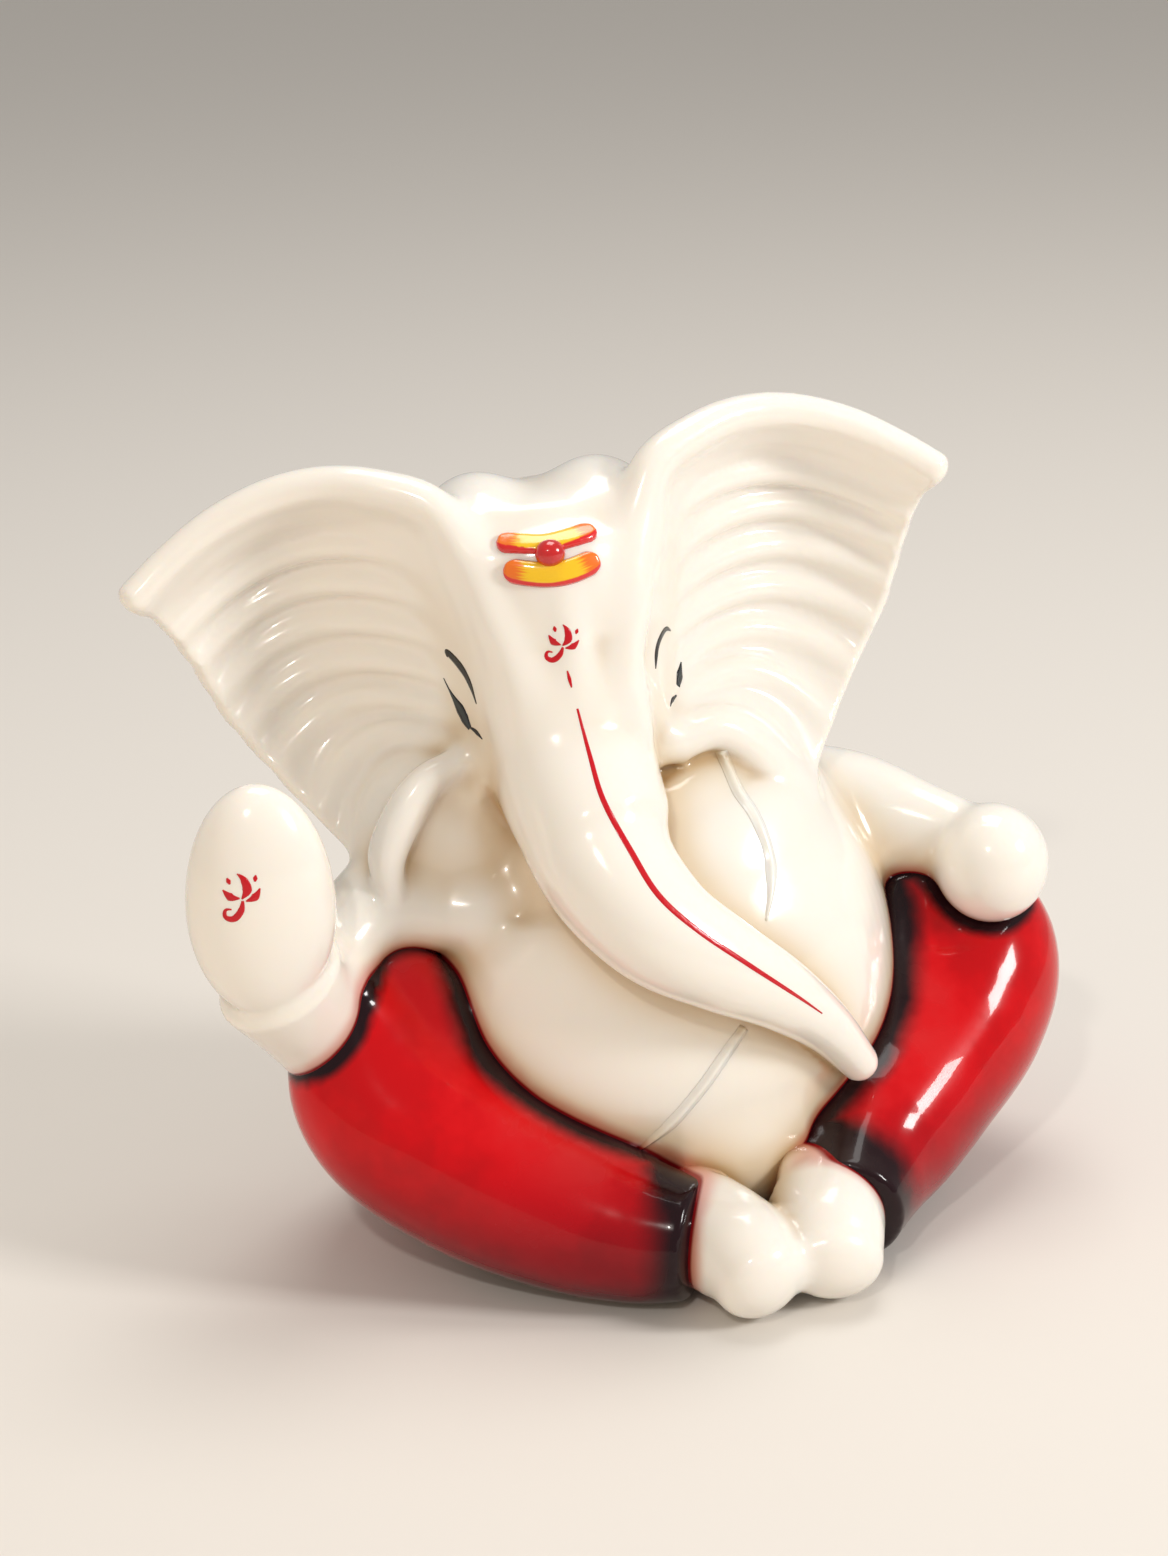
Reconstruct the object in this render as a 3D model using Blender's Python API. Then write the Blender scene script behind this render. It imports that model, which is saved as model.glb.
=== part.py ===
"""Seated elephant-headed idol, built from slip-cast castings that plug into each other.

The torso stands on the table and everything else is fixed to it: the hollow head with its trunk, two fan
ears, two arms, two hands, two hollow legs in their wrap, the hip casting behind them and two feet. The brow
mark and the sacred cord are small sprigs laid on the surface. Sizes are millimetres in the lists below and
become metres in the meshes. The idol faces -Y, its own left is +X, and the table is at Z = 0.
"""

import math

import bmesh
import bpy
from mathutils import Matrix, Vector
from mathutils.bvhtree import BVHTree

MM = 0.001
GAP = 0.3  # glue line between two castings
WALL = 5.5  # thickness of a hollow casting
FLOOR = 0.0

# ---------------------------------------------------------------- overall places
HIP_CENTRE = (3.0, 22.0, 25.0)
HIP_RADII = (82.0, 44.0, 38.0)
HIP_FRONT = -8.0
HIP_TOP = 52.0  # the wrap's upper hem, behind the belly

HEAD_SHIFT = -24.0  # the head sits over the idol's right side
HEAD_TURN = -8.0  # degrees about the vertical
HEAD_TILT = -4.0  # degrees towards the right shoulder
HEAD_TILT_HEIGHT = 150.0

# ---------------------------------------------------------------- castings, as stations along a line
# x, y, z of the middle, then half the width and half the depth of the section there.
TORSO = [
    (0, 2, -8, 12, 10),
    (0, 2, 1, 32, 27),
    (0, 2, 15, 51, 44),
    (0, 2, 35, 64.5, 56),
    (0, 2, 58, 69, 60),
    (0, 2, 80, 65, 56.5),
    (-2, 4, 98, 56, 48),
    (-6, 6, 111, 48, 39),
    (-9, 8, 122, 36, 30),
    (-11, 8, 130, 22, 19),
]
SKULL = [
    (0, 6, 198, 27, 22),
    (0, 5, 189, 32, 30),
    (0, 2, 176, 31, 32),
    (0, -1, 161, 28, 31),
    (0, -8, 147, 25.5, 27),
    (-1, -19, 133, 22, 21.5),
]
NECK_TOP = (0.0, -2.0, 150.0)  # in the head, before it is turned
NECK_BOTTOM = (-16.0, 4.0, 120.0)
NECK_RADIUS = 20.0
CROWN_LOBE = {"place": (14.0, 4.0, 189.5), "radii": (17.5, 23.0, 17.5)}
TRUNK = [
    (-28, -33, 125, 20, 18),
    (-26.5, -46, 113, 17.5, 16.5),
    (-18, -57, 101, 15.4, 14.5),
    (-4, -62, 91, 12.7, 12),
    (12, -62, 80, 9.8, 9.5),
    (27, -57, 66, 7.2, 7.2),
    (38, -53, 52, 5.2, 5.2),
]
RIGHT_LEG = [
    (-82, -12, 74, 16, 13),
    (-84, -17, 60, 23, 20),
    (-79, -24, 46, 25, 24),
    (-61, -34, 32, 25, 25),
    (-42, -46, 22.5, 23, 22.5),
    (-27, -58, 18, 19.5, 19.5),
    (-15, -67, 17, 16, 17),
]
LEFT_LEG = [
    (81, -6, 75, 22, 14),
    (87, -14, 60, 26, 21),
    (80, -21, 46, 26, 24),
    (64, -30, 33, 24.5, 24.5),
    (47, -42, 24, 23, 22.5),
    (36, -54, 19, 19, 19),
    (28, -65, 16, 16, 17),
]
RIGHT_THIGH = [
    (-57, 19, 33, 20, 20),
    (-72, 5, 47, 23, 22),
    (-83, -12, 62, 19, 17),
]
LEFT_THIGH = [
    (61, 19, 33, 20, 20),
    (76, 6, 47, 23, 22),
    (86, -10, 62, 20, 17),
]
RIGHT_MOUTH = [(-66, -30, 38), (-34, -10, 42)]
LEFT_MOUTH = [(68, -28, 38), (34, -8, 42)]
MOUTH_RADIUS = 9.0
RIGHT_FOOT = [
    (-8, -62, 18, 14.5, 15),
    (-5, -75, 16, 14, 15),
    (-3, -84, 13, 12.5, 12.5),
]
LEFT_FOOT = [
    (22, -62, 17, 15.5, 15),
    (20, -74, 15.5, 15, 15),
    (18, -82, 12.5, 13.5, 12),
]
RIGHT_ARM = [
    (-46, 14, 94, 15, 15),
    (-66, 11, 90, 13, 13),
    (-84, 0, 83, 12.5, 12.5),
    (-97, -13, 79, 13, 12.5),
]
RIGHT_FOREARM = [
    (-97, -17, 68, 13, 12.5),
    (-103, -22, 80, 15.5, 14),
    (-109, -28, 92, 18, 14.5),
]
LEFT_ARM = [
    (46, 12, 102, 17, 17),
    (62, 5, 101, 14, 14.5),
    (77, -8, 98, 10, 10.5),
    (87, -19, 94, 9, 9.5),
]
RAISED_HAND = {"centre": (-114.5, -33.0, 118.5), "radii": (18.8, 12.0, 27.5), "turn": -12.0, "lean": -4.0}
FIST = {"centre": (89.5, -24.5, 90.0), "radii": (15.5, 15.5, 16.5), "turn": 0.0, "lean": 0.0}
FIST_BACK = {"centre": (93.0, -19.0, 88.0), "radii": (14.5, 14.0, 15.0), "turn": 0.0, "lean": 0.0}

# ---------------------------------------------------------------- ears
EAR_THICKNESS = 6.0
RIGHT_EAR_TUCK = 5.0  # the right ear's outer edge is this much nearer to the head in the middle
EAR_LIFT = 1.2  # the left ear sits this much higher, and the right this much lower
EAR_ROOT = [(29, -8, 205), (26, -14, 190), (21, -18, 171), (19, -18, 154), (22, -12, 139), (27, -8, 128), (31, -8, 119)]
EAR_HOLLOW = [(64, 3, 215), (62, 14, 197), (60, 17, 180), (57, 17, 163), (53, 14, 147), (48, 7, 134), (44, -4, 122)]
EAR_EDGE = [(110, 2, 192), (101, 8, 179), (97, 11, 166), (91, 12, 152), (82, 10, 138), (70, 1, 122), (58, -12, 103)]
RIB_COUNT = 8
RIB_HEIGHT = 1.3

# ---------------------------------------------------------------- sprigs
TILAK_HALF_LENGTH = 13.5
TILAK_HALF_WIDTH = 3.4
TILAK_SPACING = 8.4
TILAK_STAND = 1.6  # how far the brow mark stands out of the forehead
TILAK_DIP = 1.2
TILAK_DOT_RADIUS = 3.7
TILAK_DOT_STAND = 2.6
TILAK_HEIGHT = 191.0
TILAK_MIDDLE = -3.0
CORD_RADIUS = 1.4
CORD_LIFT = 0.4  # the cord's middle stands this far off the skin
CORD_CHEST = [(11, 130), (14, 123), (18.5, 116), (20, 107), (18, 97), (14, 88)]
CORD_BELLY = [(6, 74), (1, 65), (-4, 56.5), (-12, 46), (-22, 39), (-28, 36)]

# ---------------------------------------------------------------- pegs and base
PEG_SIDES = 12
PEG_END_GAP = 1.0
NECK_PEG = {"start": (-18.0, 3.0, 130.0), "end": (-15.0, 5.0, 122.0), "radius": 10.0}
NECK_BORE_RADIUS = 5.0
NECK_BORE_TOP = (0.0, -4.0, 160.0)  # in the head, before it is turned
NECK_BORE_BOTTOM = (-11.0, 8.0, 110.0)
RIGHT_SHOULDER_PEG = {"start": (-66.0, 11.0, 90.0), "end": (-50.0, 14.0, 92.0), "radius": 5.0}
LEFT_SHOULDER_PEG = {"start": (62.0, 5.0, 101.0), "end": (43.0, 11.0, 101.0), "radius": 5.0}
WRIST_PEG = {"start": (-113.5, -32.0, 112.0), "end": (-108.0, -27.0, 90.0), "radius": 4.0}
RIGHT_ANKLE_PEG = {"start": (-9.0, -66.0, 17.0), "end": (-21.0, -62.0, 17.0), "radius": 4.0}
LEFT_ANKLE_PEG = {"start": (23.0, -67.0, 16.0), "end": (32.0, -59.0, 17.0), "radius": 4.0}
EAR_PEG_RADIUS = 2.0
EAR_PEG_ALONG = 0.42
EAR_PEG_OUT = 0.22
EAR_PEG_LENGTH = 17.0
VENT_RADIUS = 6.0
VENT_LEDGE = 2.5
VENT_STEP = 2.6  # depth of the step that takes the stopper's flange
VENT_PLACE = (0.0, 16.0)
STOPPER_FLANGE = 1.6
STOPPER_TOP = 9.0

WHITE = (0.88, 0.85, 0.79)
RED = (0.62, 0.006, 0.012)
BRIGHT_RED = (0.75, 0.01, 0.01)
YELLOW = (0.93, 0.50, 0.02)
GREY = (0.25, 0.25, 0.25)


def head_matrix():
    """Takes a place on a head that looks straight ahead to its place on the turned and tilted one."""
    turn = Matrix.Rotation(math.radians(HEAD_TURN), 4, "Z")
    tilt = Matrix.Rotation(math.radians(HEAD_TILT), 4, "Y")
    pivot = Matrix.Translation((0, 0, HEAD_TILT_HEIGHT))
    return Matrix.Translation((HEAD_SHIFT, 0, 0)) @ turn @ pivot @ tilt @ pivot.inverted()


HEAD = head_matrix()
AHEAD = (HEAD.to_3x3() @ Vector((0, 1, 0))).normalized()


def head_point(x, y, z):
    return HEAD @ Vector((x, y, z))


def material(name, colour, roughness, coat=0.0):
    made = bpy.data.materials.get(name) or bpy.data.materials.new(name)
    made.use_nodes = True
    shader = made.node_tree.nodes["Principled BSDF"]
    shader.inputs["Base Color"].default_value = (*colour, 1.0)
    shader.inputs["Roughness"].default_value = roughness
    shader.inputs["Metallic"].default_value = 0.0
    shader.inputs["Coat Weight"].default_value = coat
    made.diffuse_color = (*colour, 1.0)
    return made


def finish_mesh(name, bm):
    """Turns a bmesh in millimetres into an object in metres, with its faces pointing out.

    Every quad is split the same way, so that a casting and the grown copy that cuts its neighbour stay parallel.
    """
    bmesh.ops.recalc_face_normals(bm, faces=bm.faces)
    bmesh.ops.triangulate(bm, faces=bm.faces, quad_method="FIXED")
    bmesh.ops.scale(bm, vec=(MM, MM, MM), verts=bm.verts)
    mesh = bpy.data.meshes.new(name)
    bm.to_mesh(mesh)
    bm.free()
    made = bpy.data.objects.new(name, mesh)
    bpy.context.scene.collection.objects.link(made)
    return made


def boolean(target, tool, operation, folded=False):
    """Cuts tool out of target, or joins it on, and removes the tool. A folded target may touch itself."""
    modifier = target.modifiers.new(operation.lower(), "BOOLEAN")
    modifier.operation = operation
    modifier.object = tool
    modifier.solver = "EXACT"
    modifier.use_self = folded
    with bpy.context.temp_override(object=target, active_object=target, selected_objects=[target]):
        bpy.ops.object.modifier_apply(modifier=modifier.name)
    bpy.data.objects.remove(tool)
    return target


def cut(target, *tools, folded=False):
    for tool in tools:
        boolean(target, tool, "DIFFERENCE", folded)
    return target


def join(target, *tools):
    for tool in tools:
        boolean(target, tool, "UNION")
    return target


# ---------------------------------------------------------------- shape makers
def ellipsoid(name, centre, radii, grow=0.0, across=32, down=20, matrix=None, turn=0.0, lean=0.0):
    """A ball stretched to three radii, turned about Z and leaned about Y, and placed by matrix."""
    bm = bmesh.new()
    bmesh.ops.create_uvsphere(bm, u_segments=across, v_segments=down, radius=1.0)
    size = Matrix.Diagonal((*[r + grow for r in radii], 1.0))
    pose = Matrix.Rotation(math.radians(turn), 4, "Z") @ Matrix.Rotation(math.radians(lean), 4, "Y")
    bmesh.ops.transform(bm, matrix=(matrix or Matrix()) @ Matrix.Translation(centre) @ pose @ size, verts=bm.verts)
    return finish_mesh(name, bm)


def through(stations, share):
    """The smooth line through the stations, at a share from 0 to 1 of its length in stations."""
    last = len(stations) - 1
    at = min(share * last, last - 1e-9)
    i = int(at)
    t = at - i
    a, b, c, d = (stations[min(max(k, 0), last)] for k in (i - 1, i, i + 1, i + 2))
    return [
        0.5 * (2 * q + (r - p) * t + (2 * p - 5 * q + 4 * r - s) * t * t + (3 * q - p - 3 * r + s) * t ** 3)
        for p, q, r, s in zip(a, b, c, d)
    ]


def sweep(name, stations, sides, rings, dome_start, dome_end, grow=0.0, dome_rings=4, width_along=(1, 0, 0)):
    """A round-ended solid along the stations, with an oval section that changes along the way."""
    samples = [through(stations, k / (rings - 1)) for k in range(rings)]
    middles = [Vector(s[:3]) for s in samples]
    spans = [(s[3] + grow, s[4] + grow) for s in samples]
    tangents = [
        (middles[min(k + 1, rings - 1)] - middles[max(k - 1, 0)]).normalized() for k in range(rings)
    ]
    wide = Vector(width_along)
    profile = []
    dome_angles = [math.radians(90 * k / dome_rings) for k in range(dome_rings)]
    for angle in dome_angles:
        if angle > 0 or dome_start > 0:
            length = (dome_start + grow) * math.cos(angle)
            profile.append((middles[0] - tangents[0] * length, math.sin(angle), 0))
    profile += [(middles[k], 1.0, k) for k in range(rings)]
    for angle in reversed(dome_angles):
        length = (dome_end + grow) * math.cos(angle)
        profile.append((middles[-1] + tangents[-1] * length, math.sin(angle), rings - 1))
    bm = bmesh.new()
    loops = []
    for middle, scale, k in profile:
        wide = (wide - tangents[k] * wide.dot(tangents[k])).normalized()
        deep = tangents[k].cross(wide)
        if scale < 1e-6:
            loops.append([bm.verts.new(middle)])
            continue
        half_width, half_depth = (span * scale for span in spans[k])
        ring = []
        for n in range(sides):
            angle = 2 * math.pi * n / sides
            ring.append(bm.verts.new(middle + wide * half_width * math.cos(angle) + deep * half_depth * math.sin(angle)))
        loops.append(ring)
    for lower, upper in zip(loops, loops[1:]):
        for n in range(sides):
            corners = [lower[n % len(lower)], lower[(n + 1) % len(lower)]]
            corners += [upper[(n + 1) % len(upper)], upper[n % len(upper)]]
            bm.faces.new(list(dict.fromkeys(corners)))
    return finish_mesh(name, bm)


def placed(stations, matrix):
    """Stations with their middles moved by a matrix."""
    return [(*(matrix @ Vector(s[:3])), *s[3:]) for s in stations]


def block(name, low, high):
    bm = bmesh.new()
    bmesh.ops.create_cube(bm, size=1.0)
    size = Vector(high) - Vector(low)
    middle = (Vector(high) + Vector(low)) / 2
    bmesh.ops.transform(bm, matrix=Matrix.Translation(middle) @ Matrix.Diagonal((*size, 1.0)), verts=bm.verts)
    return finish_mesh(name, bm)


def peg(name, start, end, radius, sides=PEG_SIDES):
    """A plain round peg from start to end."""
    line = Vector(end) - Vector(start)
    bm = bmesh.new()
    bmesh.ops.create_cone(bm, cap_ends=True, segments=sides, radius1=radius, radius2=radius, depth=line.length)
    turn = line.to_track_quat("Z", "Y").to_matrix().to_4x4()
    middle = (Vector(start) + Vector(end)) / 2
    bmesh.ops.transform(bm, matrix=Matrix.Translation(middle) @ turn, verts=bm.verts)
    return finish_mesh(name, bm)


def peg_joint(male, female, start, end, radius):
    """Gives male a peg that runs from start, inside it, to end, inside female, which gets the socket."""
    line = (Vector(end) - Vector(start)).normalized()
    join(male, peg("peg", start, end, radius))
    socket_end = Vector(end) + line * PEG_END_GAP
    cut(female, peg("socket", start, socket_end, radius + GAP))


# ---------------------------------------------------------------- the castings' outer forms
def torso_form(grow=0.0, sides=32, rings=20):
    return sweep("torso", TORSO, sides, rings, 1, 3, grow)


def head_form(grow=0.0):
    made = sweep("skull", placed(SKULL, HEAD) + TRUNK, 22, 24, 9, 5, grow)
    for side in (-1, 1):
        x, y, z = CROWN_LOBE["place"]
        join(made, ellipsoid("lobe", (side * x, y, z), CROWN_LOBE["radii"], grow, 16, 10, HEAD))
    neck = [(*head_point(*NECK_TOP), NECK_RADIUS, NECK_RADIUS), (*NECK_BOTTOM, NECK_RADIUS, NECK_RADIUS)]
    return join(made, sweep("neck", neck, 16, 3, 4, 4, grow))


def hip_form(grow=0.0):
    return ellipsoid("hips", HIP_CENTRE, HIP_RADII, grow, 28, 14)


def leg_form(shin, thigh, grow=0.0):
    made = sweep("leg", shin, 20, 13, 14, 3, grow)
    return join(made, sweep("thigh", thigh, 16, 6, 8, 8, grow))


def right_leg_form(grow=0.0):
    return leg_form(RIGHT_LEG, RIGHT_THIGH, grow)


def left_leg_form(grow=0.0):
    return leg_form(LEFT_LEG, LEFT_THIGH, grow)


def foot_form(stations, grow=0.0):
    return sweep("foot", stations, 16, 5, 5, 9, grow)


def right_arm_form(grow=0.0):
    made = sweep("arm", RIGHT_ARM, 14, 7, 8, 8, grow)
    return join(made, sweep("forearm", RIGHT_FOREARM, 16, 5, 8, 8, grow))


def left_arm_form(grow=0.0):
    return sweep("arm", LEFT_ARM, 14, 7, 8, 5, grow)


def raised_hand_form(grow=0.0):
    return ellipsoid("hand", **RAISED_HAND, grow=grow, across=20, down=13)


def fist_form(grow=0.0):
    made = ellipsoid("fist", **FIST, grow=grow, across=18, down=12)
    return join(made, ellipsoid("back", **FIST_BACK, grow=grow, across=18, down=12))


# ---------------------------------------------------------------- ears
def ear_place(along, out):
    """A place on the ear's middle sheet: along runs from the top rim to the lobe, out from root to edge."""
    root = Vector(through(EAR_ROOT, along))
    hollow = Vector(through(EAR_HOLLOW, along))
    edge = Vector(through(EAR_EDGE, along))
    pull = 2 * hollow - (root + edge) / 2
    return root * (1 - out) ** 2 + pull * (2 * out * (1 - out)) + edge * out ** 2


def ear_point(side, place, along, out):
    """Takes a place on the left ear's pattern to the left or the right ear on the turned head."""
    tuck = RIGHT_EAR_TUCK * out * math.sin(math.pi * along) if side < 0 else 0.0
    return head_point(side * (place.x - tuck), place.y, place.z + side * EAR_LIFT)


def ear_peg(side):
    """Start and end of the peg that fixes an ear: from inside the sheet towards the middle of the head."""
    start = ear_point(side, ear_place(EAR_PEG_ALONG, EAR_PEG_OUT), EAR_PEG_ALONG, EAR_PEG_OUT)
    root = ear_point(side, ear_place(EAR_PEG_ALONG, 0.0), EAR_PEG_ALONG, 0.0)
    return start, start + (root - start).normalized() * EAR_PEG_LENGTH


def ear_form(side, grow=0.0, along_steps=32, out_steps=7):
    """The fan ear: a pleated sheet between root, hollow and edge lines, thickened to both sides."""
    bm = bmesh.new()
    grid = []
    for i in range(along_steps + 1):
        along = i / along_steps
        row = []
        for j in range(out_steps + 1):
            out = j / out_steps
            here = ear_place(along, out)
            next_along = ear_place(min(along + 0.01, 1.0), out) - ear_place(max(along - 0.01, 0.0), out)
            next_out = ear_place(along, min(out + 0.01, 1.0)) - ear_place(along, max(out - 0.01, 0.0))
            normal = next_out.cross(next_along).normalized()
            fade = math.sin(math.pi * min(out * 1.15, 1.0) * 0.5) * math.sin(math.pi * min(1.0, along * 4) * 0.5)
            rib = RIB_HEIGHT * math.cos(2 * math.pi * RIB_COUNT * along) * fade
            row.append(bm.verts.new(ear_point(side, here + normal * rib, along, out)))
        grid.append(row)
    for i in range(along_steps):
        for j in range(out_steps):
            bm.faces.new((grid[i][j], grid[i + 1][j], grid[i + 1][j + 1], grid[i][j + 1]))
    made = finish_mesh("ear", bm)
    thick = made.modifiers.new("thick", "SOLIDIFY")
    thick.thickness = (EAR_THICKNESS + 2 * grow) * MM
    thick.offset = 0.0
    thick.use_even_offset = False
    with bpy.context.temp_override(object=made, active_object=made, selected_objects=[made]):
        bpy.ops.object.modifier_apply(modifier=thick.name)
    return made


# ---------------------------------------------------------------- sprigs on the surface
def surface_of(obj):
    """A finder for the place on an object's skin behind a point of the plane Y = 0, seen along a direction."""
    tree = BVHTree.FromObject(obj, bpy.context.evaluated_depsgraph_get())

    def find(x, z, direction=Vector((0, 1, 0))):
        start = Vector((x, 0, z)) * MM - direction * 0.3
        place, normal, _, _ = tree.ray_cast(start, direction)
        return place / MM, normal

    return find


def tilak_bar(find, height):
    """One bar of the brow mark: a round-ended strip with a dip in the middle, laid on the forehead."""
    stations = []
    for share in (-1, -0.5, 0, 0.5, 1):
        along = share * (TILAK_HALF_LENGTH - TILAK_HALF_WIDTH)
        dip = TILAK_DIP * (1 - share * share)
        flat = head_point(TILAK_MIDDLE + along, 0, height - dip)
        place, _ = find(flat.x, flat.z, AHEAD)
        stations.append((*place, TILAK_HALF_WIDTH, TILAK_STAND))
    ends = (TILAK_HALF_WIDTH, TILAK_HALF_WIDTH)
    return sweep("bar", stations, 10, 8, *ends, dome_rings=3, width_along=(0, 0, 1))


def tilak_dot(find, grow=0.0):
    """The round boss between the two bars."""
    flat = head_point(TILAK_MIDDLE, 0, TILAK_HEIGHT)
    place, _ = find(flat.x, flat.z, AHEAD)
    return ellipsoid("dot", place, (TILAK_DOT_RADIUS, TILAK_DOT_STAND, TILAK_DOT_RADIUS), grow, 14, 8)


def cord_form(name, find, route):
    stations = []
    for x, z in route:
        place, normal = find(x, z)
        stations.append((*(place + normal * CORD_LIFT), CORD_RADIUS, CORD_RADIUS))
    return sweep(name, stations, 8, 11, CORD_RADIUS, CORD_RADIUS, dome_rings=2)


def under_table():
    return block("table", (-200, -200, -60), (200, 200, FLOOR))


def node(obj, name, finish):
    """Names a finished casting, gives it its one material and shades its round faces smooth."""
    obj.name = name
    obj.data.name = name
    obj.data.materials.clear()
    obj.data.materials.append(finish)
    for face in obj.data.polygons:
        face.material_index = 0
    obj.data.shade_smooth()
    obj.data.set_sharp_from_angle(angle=math.radians(35))
    return obj


# ---------------------------------------------------------------- the castings
def make_torso():
    torso = torso_form()
    inside = torso_form(-WALL, 20, 13)
    cut(inside, block("floor_plate", (-90, -90, -40), (90, 90, FLOOR + WALL)))
    cut(torso, inside, under_table())
    x, y = VENT_PLACE
    cut(torso, peg("vent", (x, y, -5), (x, y, WALL + 5), VENT_RADIUS, 24))
    cut(torso, peg("vent_step", (x, y, -5), (x, y, VENT_STEP), VENT_RADIUS + VENT_LEDGE, 24))
    return torso


def make_stopper():
    """A plug in the torso's vent, with a flange that lies in the step."""
    x, y = VENT_PLACE
    flange_top = VENT_STEP - GAP
    plug = peg("plug", (x, y, flange_top - 0.5), (x, y, STOPPER_TOP), VENT_RADIUS - GAP, 24)
    flange = peg("flange", (x, y, flange_top - STOPPER_FLANGE), (x, y, flange_top), VENT_RADIUS + VENT_LEDGE - GAP, 24)
    return join(flange, plug)


def make_head():
    head = head_form()
    cut(head, sweep("cavity", placed(SKULL, HEAD), 16, 10, 8, 4, -WALL))
    cut(head, torso_form(GAP))
    return head


def bore_neck(head):
    """Opens the head's inside into the torso's, so that no air is trapped in the kiln."""
    cut(head, peg("bore", head_point(*NECK_BORE_TOP), NECK_BORE_BOTTOM, NECK_BORE_RADIUS))


def make_leg(shin, thigh, mouth):
    """A hollow leg whose inside opens through a round mouth in the face that lies on the torso."""
    leg = leg_form(shin, thigh)
    cut(leg, sweep("cavity", shin[1:-1], 12, 8, 5, 5, -WALL))
    cut(leg, torso_form(GAP))
    cut(leg, peg("mouth", *mouth, MOUTH_RADIUS, 16))
    return cut(leg, under_table(), hip_form(GAP))


def main():
    for old in list(bpy.data.objects):
        bpy.data.objects.remove(old)
    glaze = material("ivory_glaze", WHITE, 0.08, 1.0)
    lacquer = material("red_lacquer", RED, 0.08, 1.0)
    mark_yellow = material("yellow_enamel", YELLOW, 0.15, 1.0)
    mark_red = material("red_enamel", BRIGHT_RED, 0.12, 1.0)
    rubber = material("soft_stopper", GREY, 0.6)

    torso = make_torso()
    node(make_stopper(), "vent_stopper", rubber)

    head = make_head()
    skin_of_head = surface_of(head)
    skin_of_torso = surface_of(torso)

    hips = hip_form()
    hem = block("above", (-200, -200, HIP_TOP), (200, 200, 200))
    cut(hips, hem, under_table(), torso_form(GAP))
    cut(hips, block("front", (-200, -200, -50), (200, HIP_FRONT, 200)))

    right_leg = make_leg(RIGHT_LEG, RIGHT_THIGH, RIGHT_MOUTH)
    left_leg = make_leg(LEFT_LEG, LEFT_THIGH, LEFT_MOUTH)
    right_ear = cut(ear_form(-1), head_form(GAP), torso_form(GAP), folded=True)
    left_ear = cut(ear_form(1), head_form(GAP), torso_form(GAP), folded=True)
    right_arm = cut(right_arm_form(), torso_form(GAP), right_leg_form(GAP), ear_form(-1, GAP))
    left_arm = cut(left_arm_form(), torso_form(GAP), left_leg_form(GAP), ear_form(1, GAP))
    raised_hand = cut(raised_hand_form(), right_arm_form(GAP), right_leg_form(GAP))
    fist = cut(fist_form(), left_arm_form(GAP), left_leg_form(GAP))
    right_foot = cut(foot_form(RIGHT_FOOT), under_table(), torso_form(GAP), right_leg_form(GAP))
    left_foot = cut(foot_form(LEFT_FOOT), under_table(), torso_form(GAP), left_leg_form(GAP))
    cut(right_foot, left_leg_form(GAP))
    cut(left_foot, right_leg_form(GAP), foot_form(RIGHT_FOOT, GAP))

    upper_bar = tilak_bar(skin_of_head, TILAK_HEIGHT + TILAK_SPACING / 2)
    lower_bar = tilak_bar(skin_of_head, TILAK_HEIGHT - TILAK_SPACING / 2)
    for bar in (upper_bar, lower_bar):
        cut(bar, head_form(GAP), tilak_dot(skin_of_head, GAP))
    dot = cut(tilak_dot(skin_of_head), head_form(GAP))

    chest_cord = cut(cord_form("cord", skin_of_torso, CORD_CHEST), torso_form(GAP), head_form(GAP))
    belly_cord = cut(cord_form("cord", skin_of_torso, CORD_BELLY), torso_form(GAP), head_form(GAP))
    cut(belly_cord, right_leg_form(GAP))

    peg_joint(head, torso, **NECK_PEG)
    bore_neck(head)
    peg_joint(right_ear, head, *ear_peg(-1), EAR_PEG_RADIUS)
    peg_joint(left_ear, head, *ear_peg(1), EAR_PEG_RADIUS)
    peg_joint(right_arm, torso, **RIGHT_SHOULDER_PEG)
    peg_joint(left_arm, torso, **LEFT_SHOULDER_PEG)
    peg_joint(raised_hand, right_arm, **WRIST_PEG)
    peg_joint(right_foot, right_leg, **RIGHT_ANKLE_PEG)
    peg_joint(left_foot, left_leg, **LEFT_ANKLE_PEG)

    node(torso, "torso", glaze)
    node(head, "head", glaze)
    node(hips, "hip_wrap", lacquer)
    node(right_leg, "right_leg", lacquer)
    node(left_leg, "left_leg", lacquer)
    node(right_ear, "right_ear", glaze)
    node(left_ear, "left_ear", glaze)
    node(right_arm, "right_arm", glaze)
    node(left_arm, "left_arm", glaze)
    node(raised_hand, "raised_right_hand", glaze)
    node(fist, "resting_left_hand", glaze)
    node(right_foot, "right_foot", glaze)
    node(left_foot, "left_foot", glaze)
    node(upper_bar, "tilak_upper_bar", mark_yellow)
    node(lower_bar, "tilak_lower_bar", mark_yellow)
    node(dot, "tilak_dot", mark_red)
    node(chest_cord, "cord_on_chest", glaze)
    node(belly_cord, "cord_on_belly", glaze)


main()
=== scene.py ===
# %% [markdown]
# # A glazed ceramic idol
#
# This lesson builds the finished look of a seated, elephant-headed figure around its packed castings. You
# will see how soft, hand-modelled clay can be made from distance fields: each limb is a simple closed
# shape, the shapes are blended where wet clay would have been smoothed with a thumb, and the skin is read
# back as one clean mesh. After that come the painted lines, the raised brow mark and the glazes. All
# sizes are in millimetres until a mesh is made, because that is how a potter would measure.

import math

import bpy
import numpy as np
import openvdb as vdb
from mathutils import Matrix, Vector
from mathutils.bvhtree import BVHTree


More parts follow.
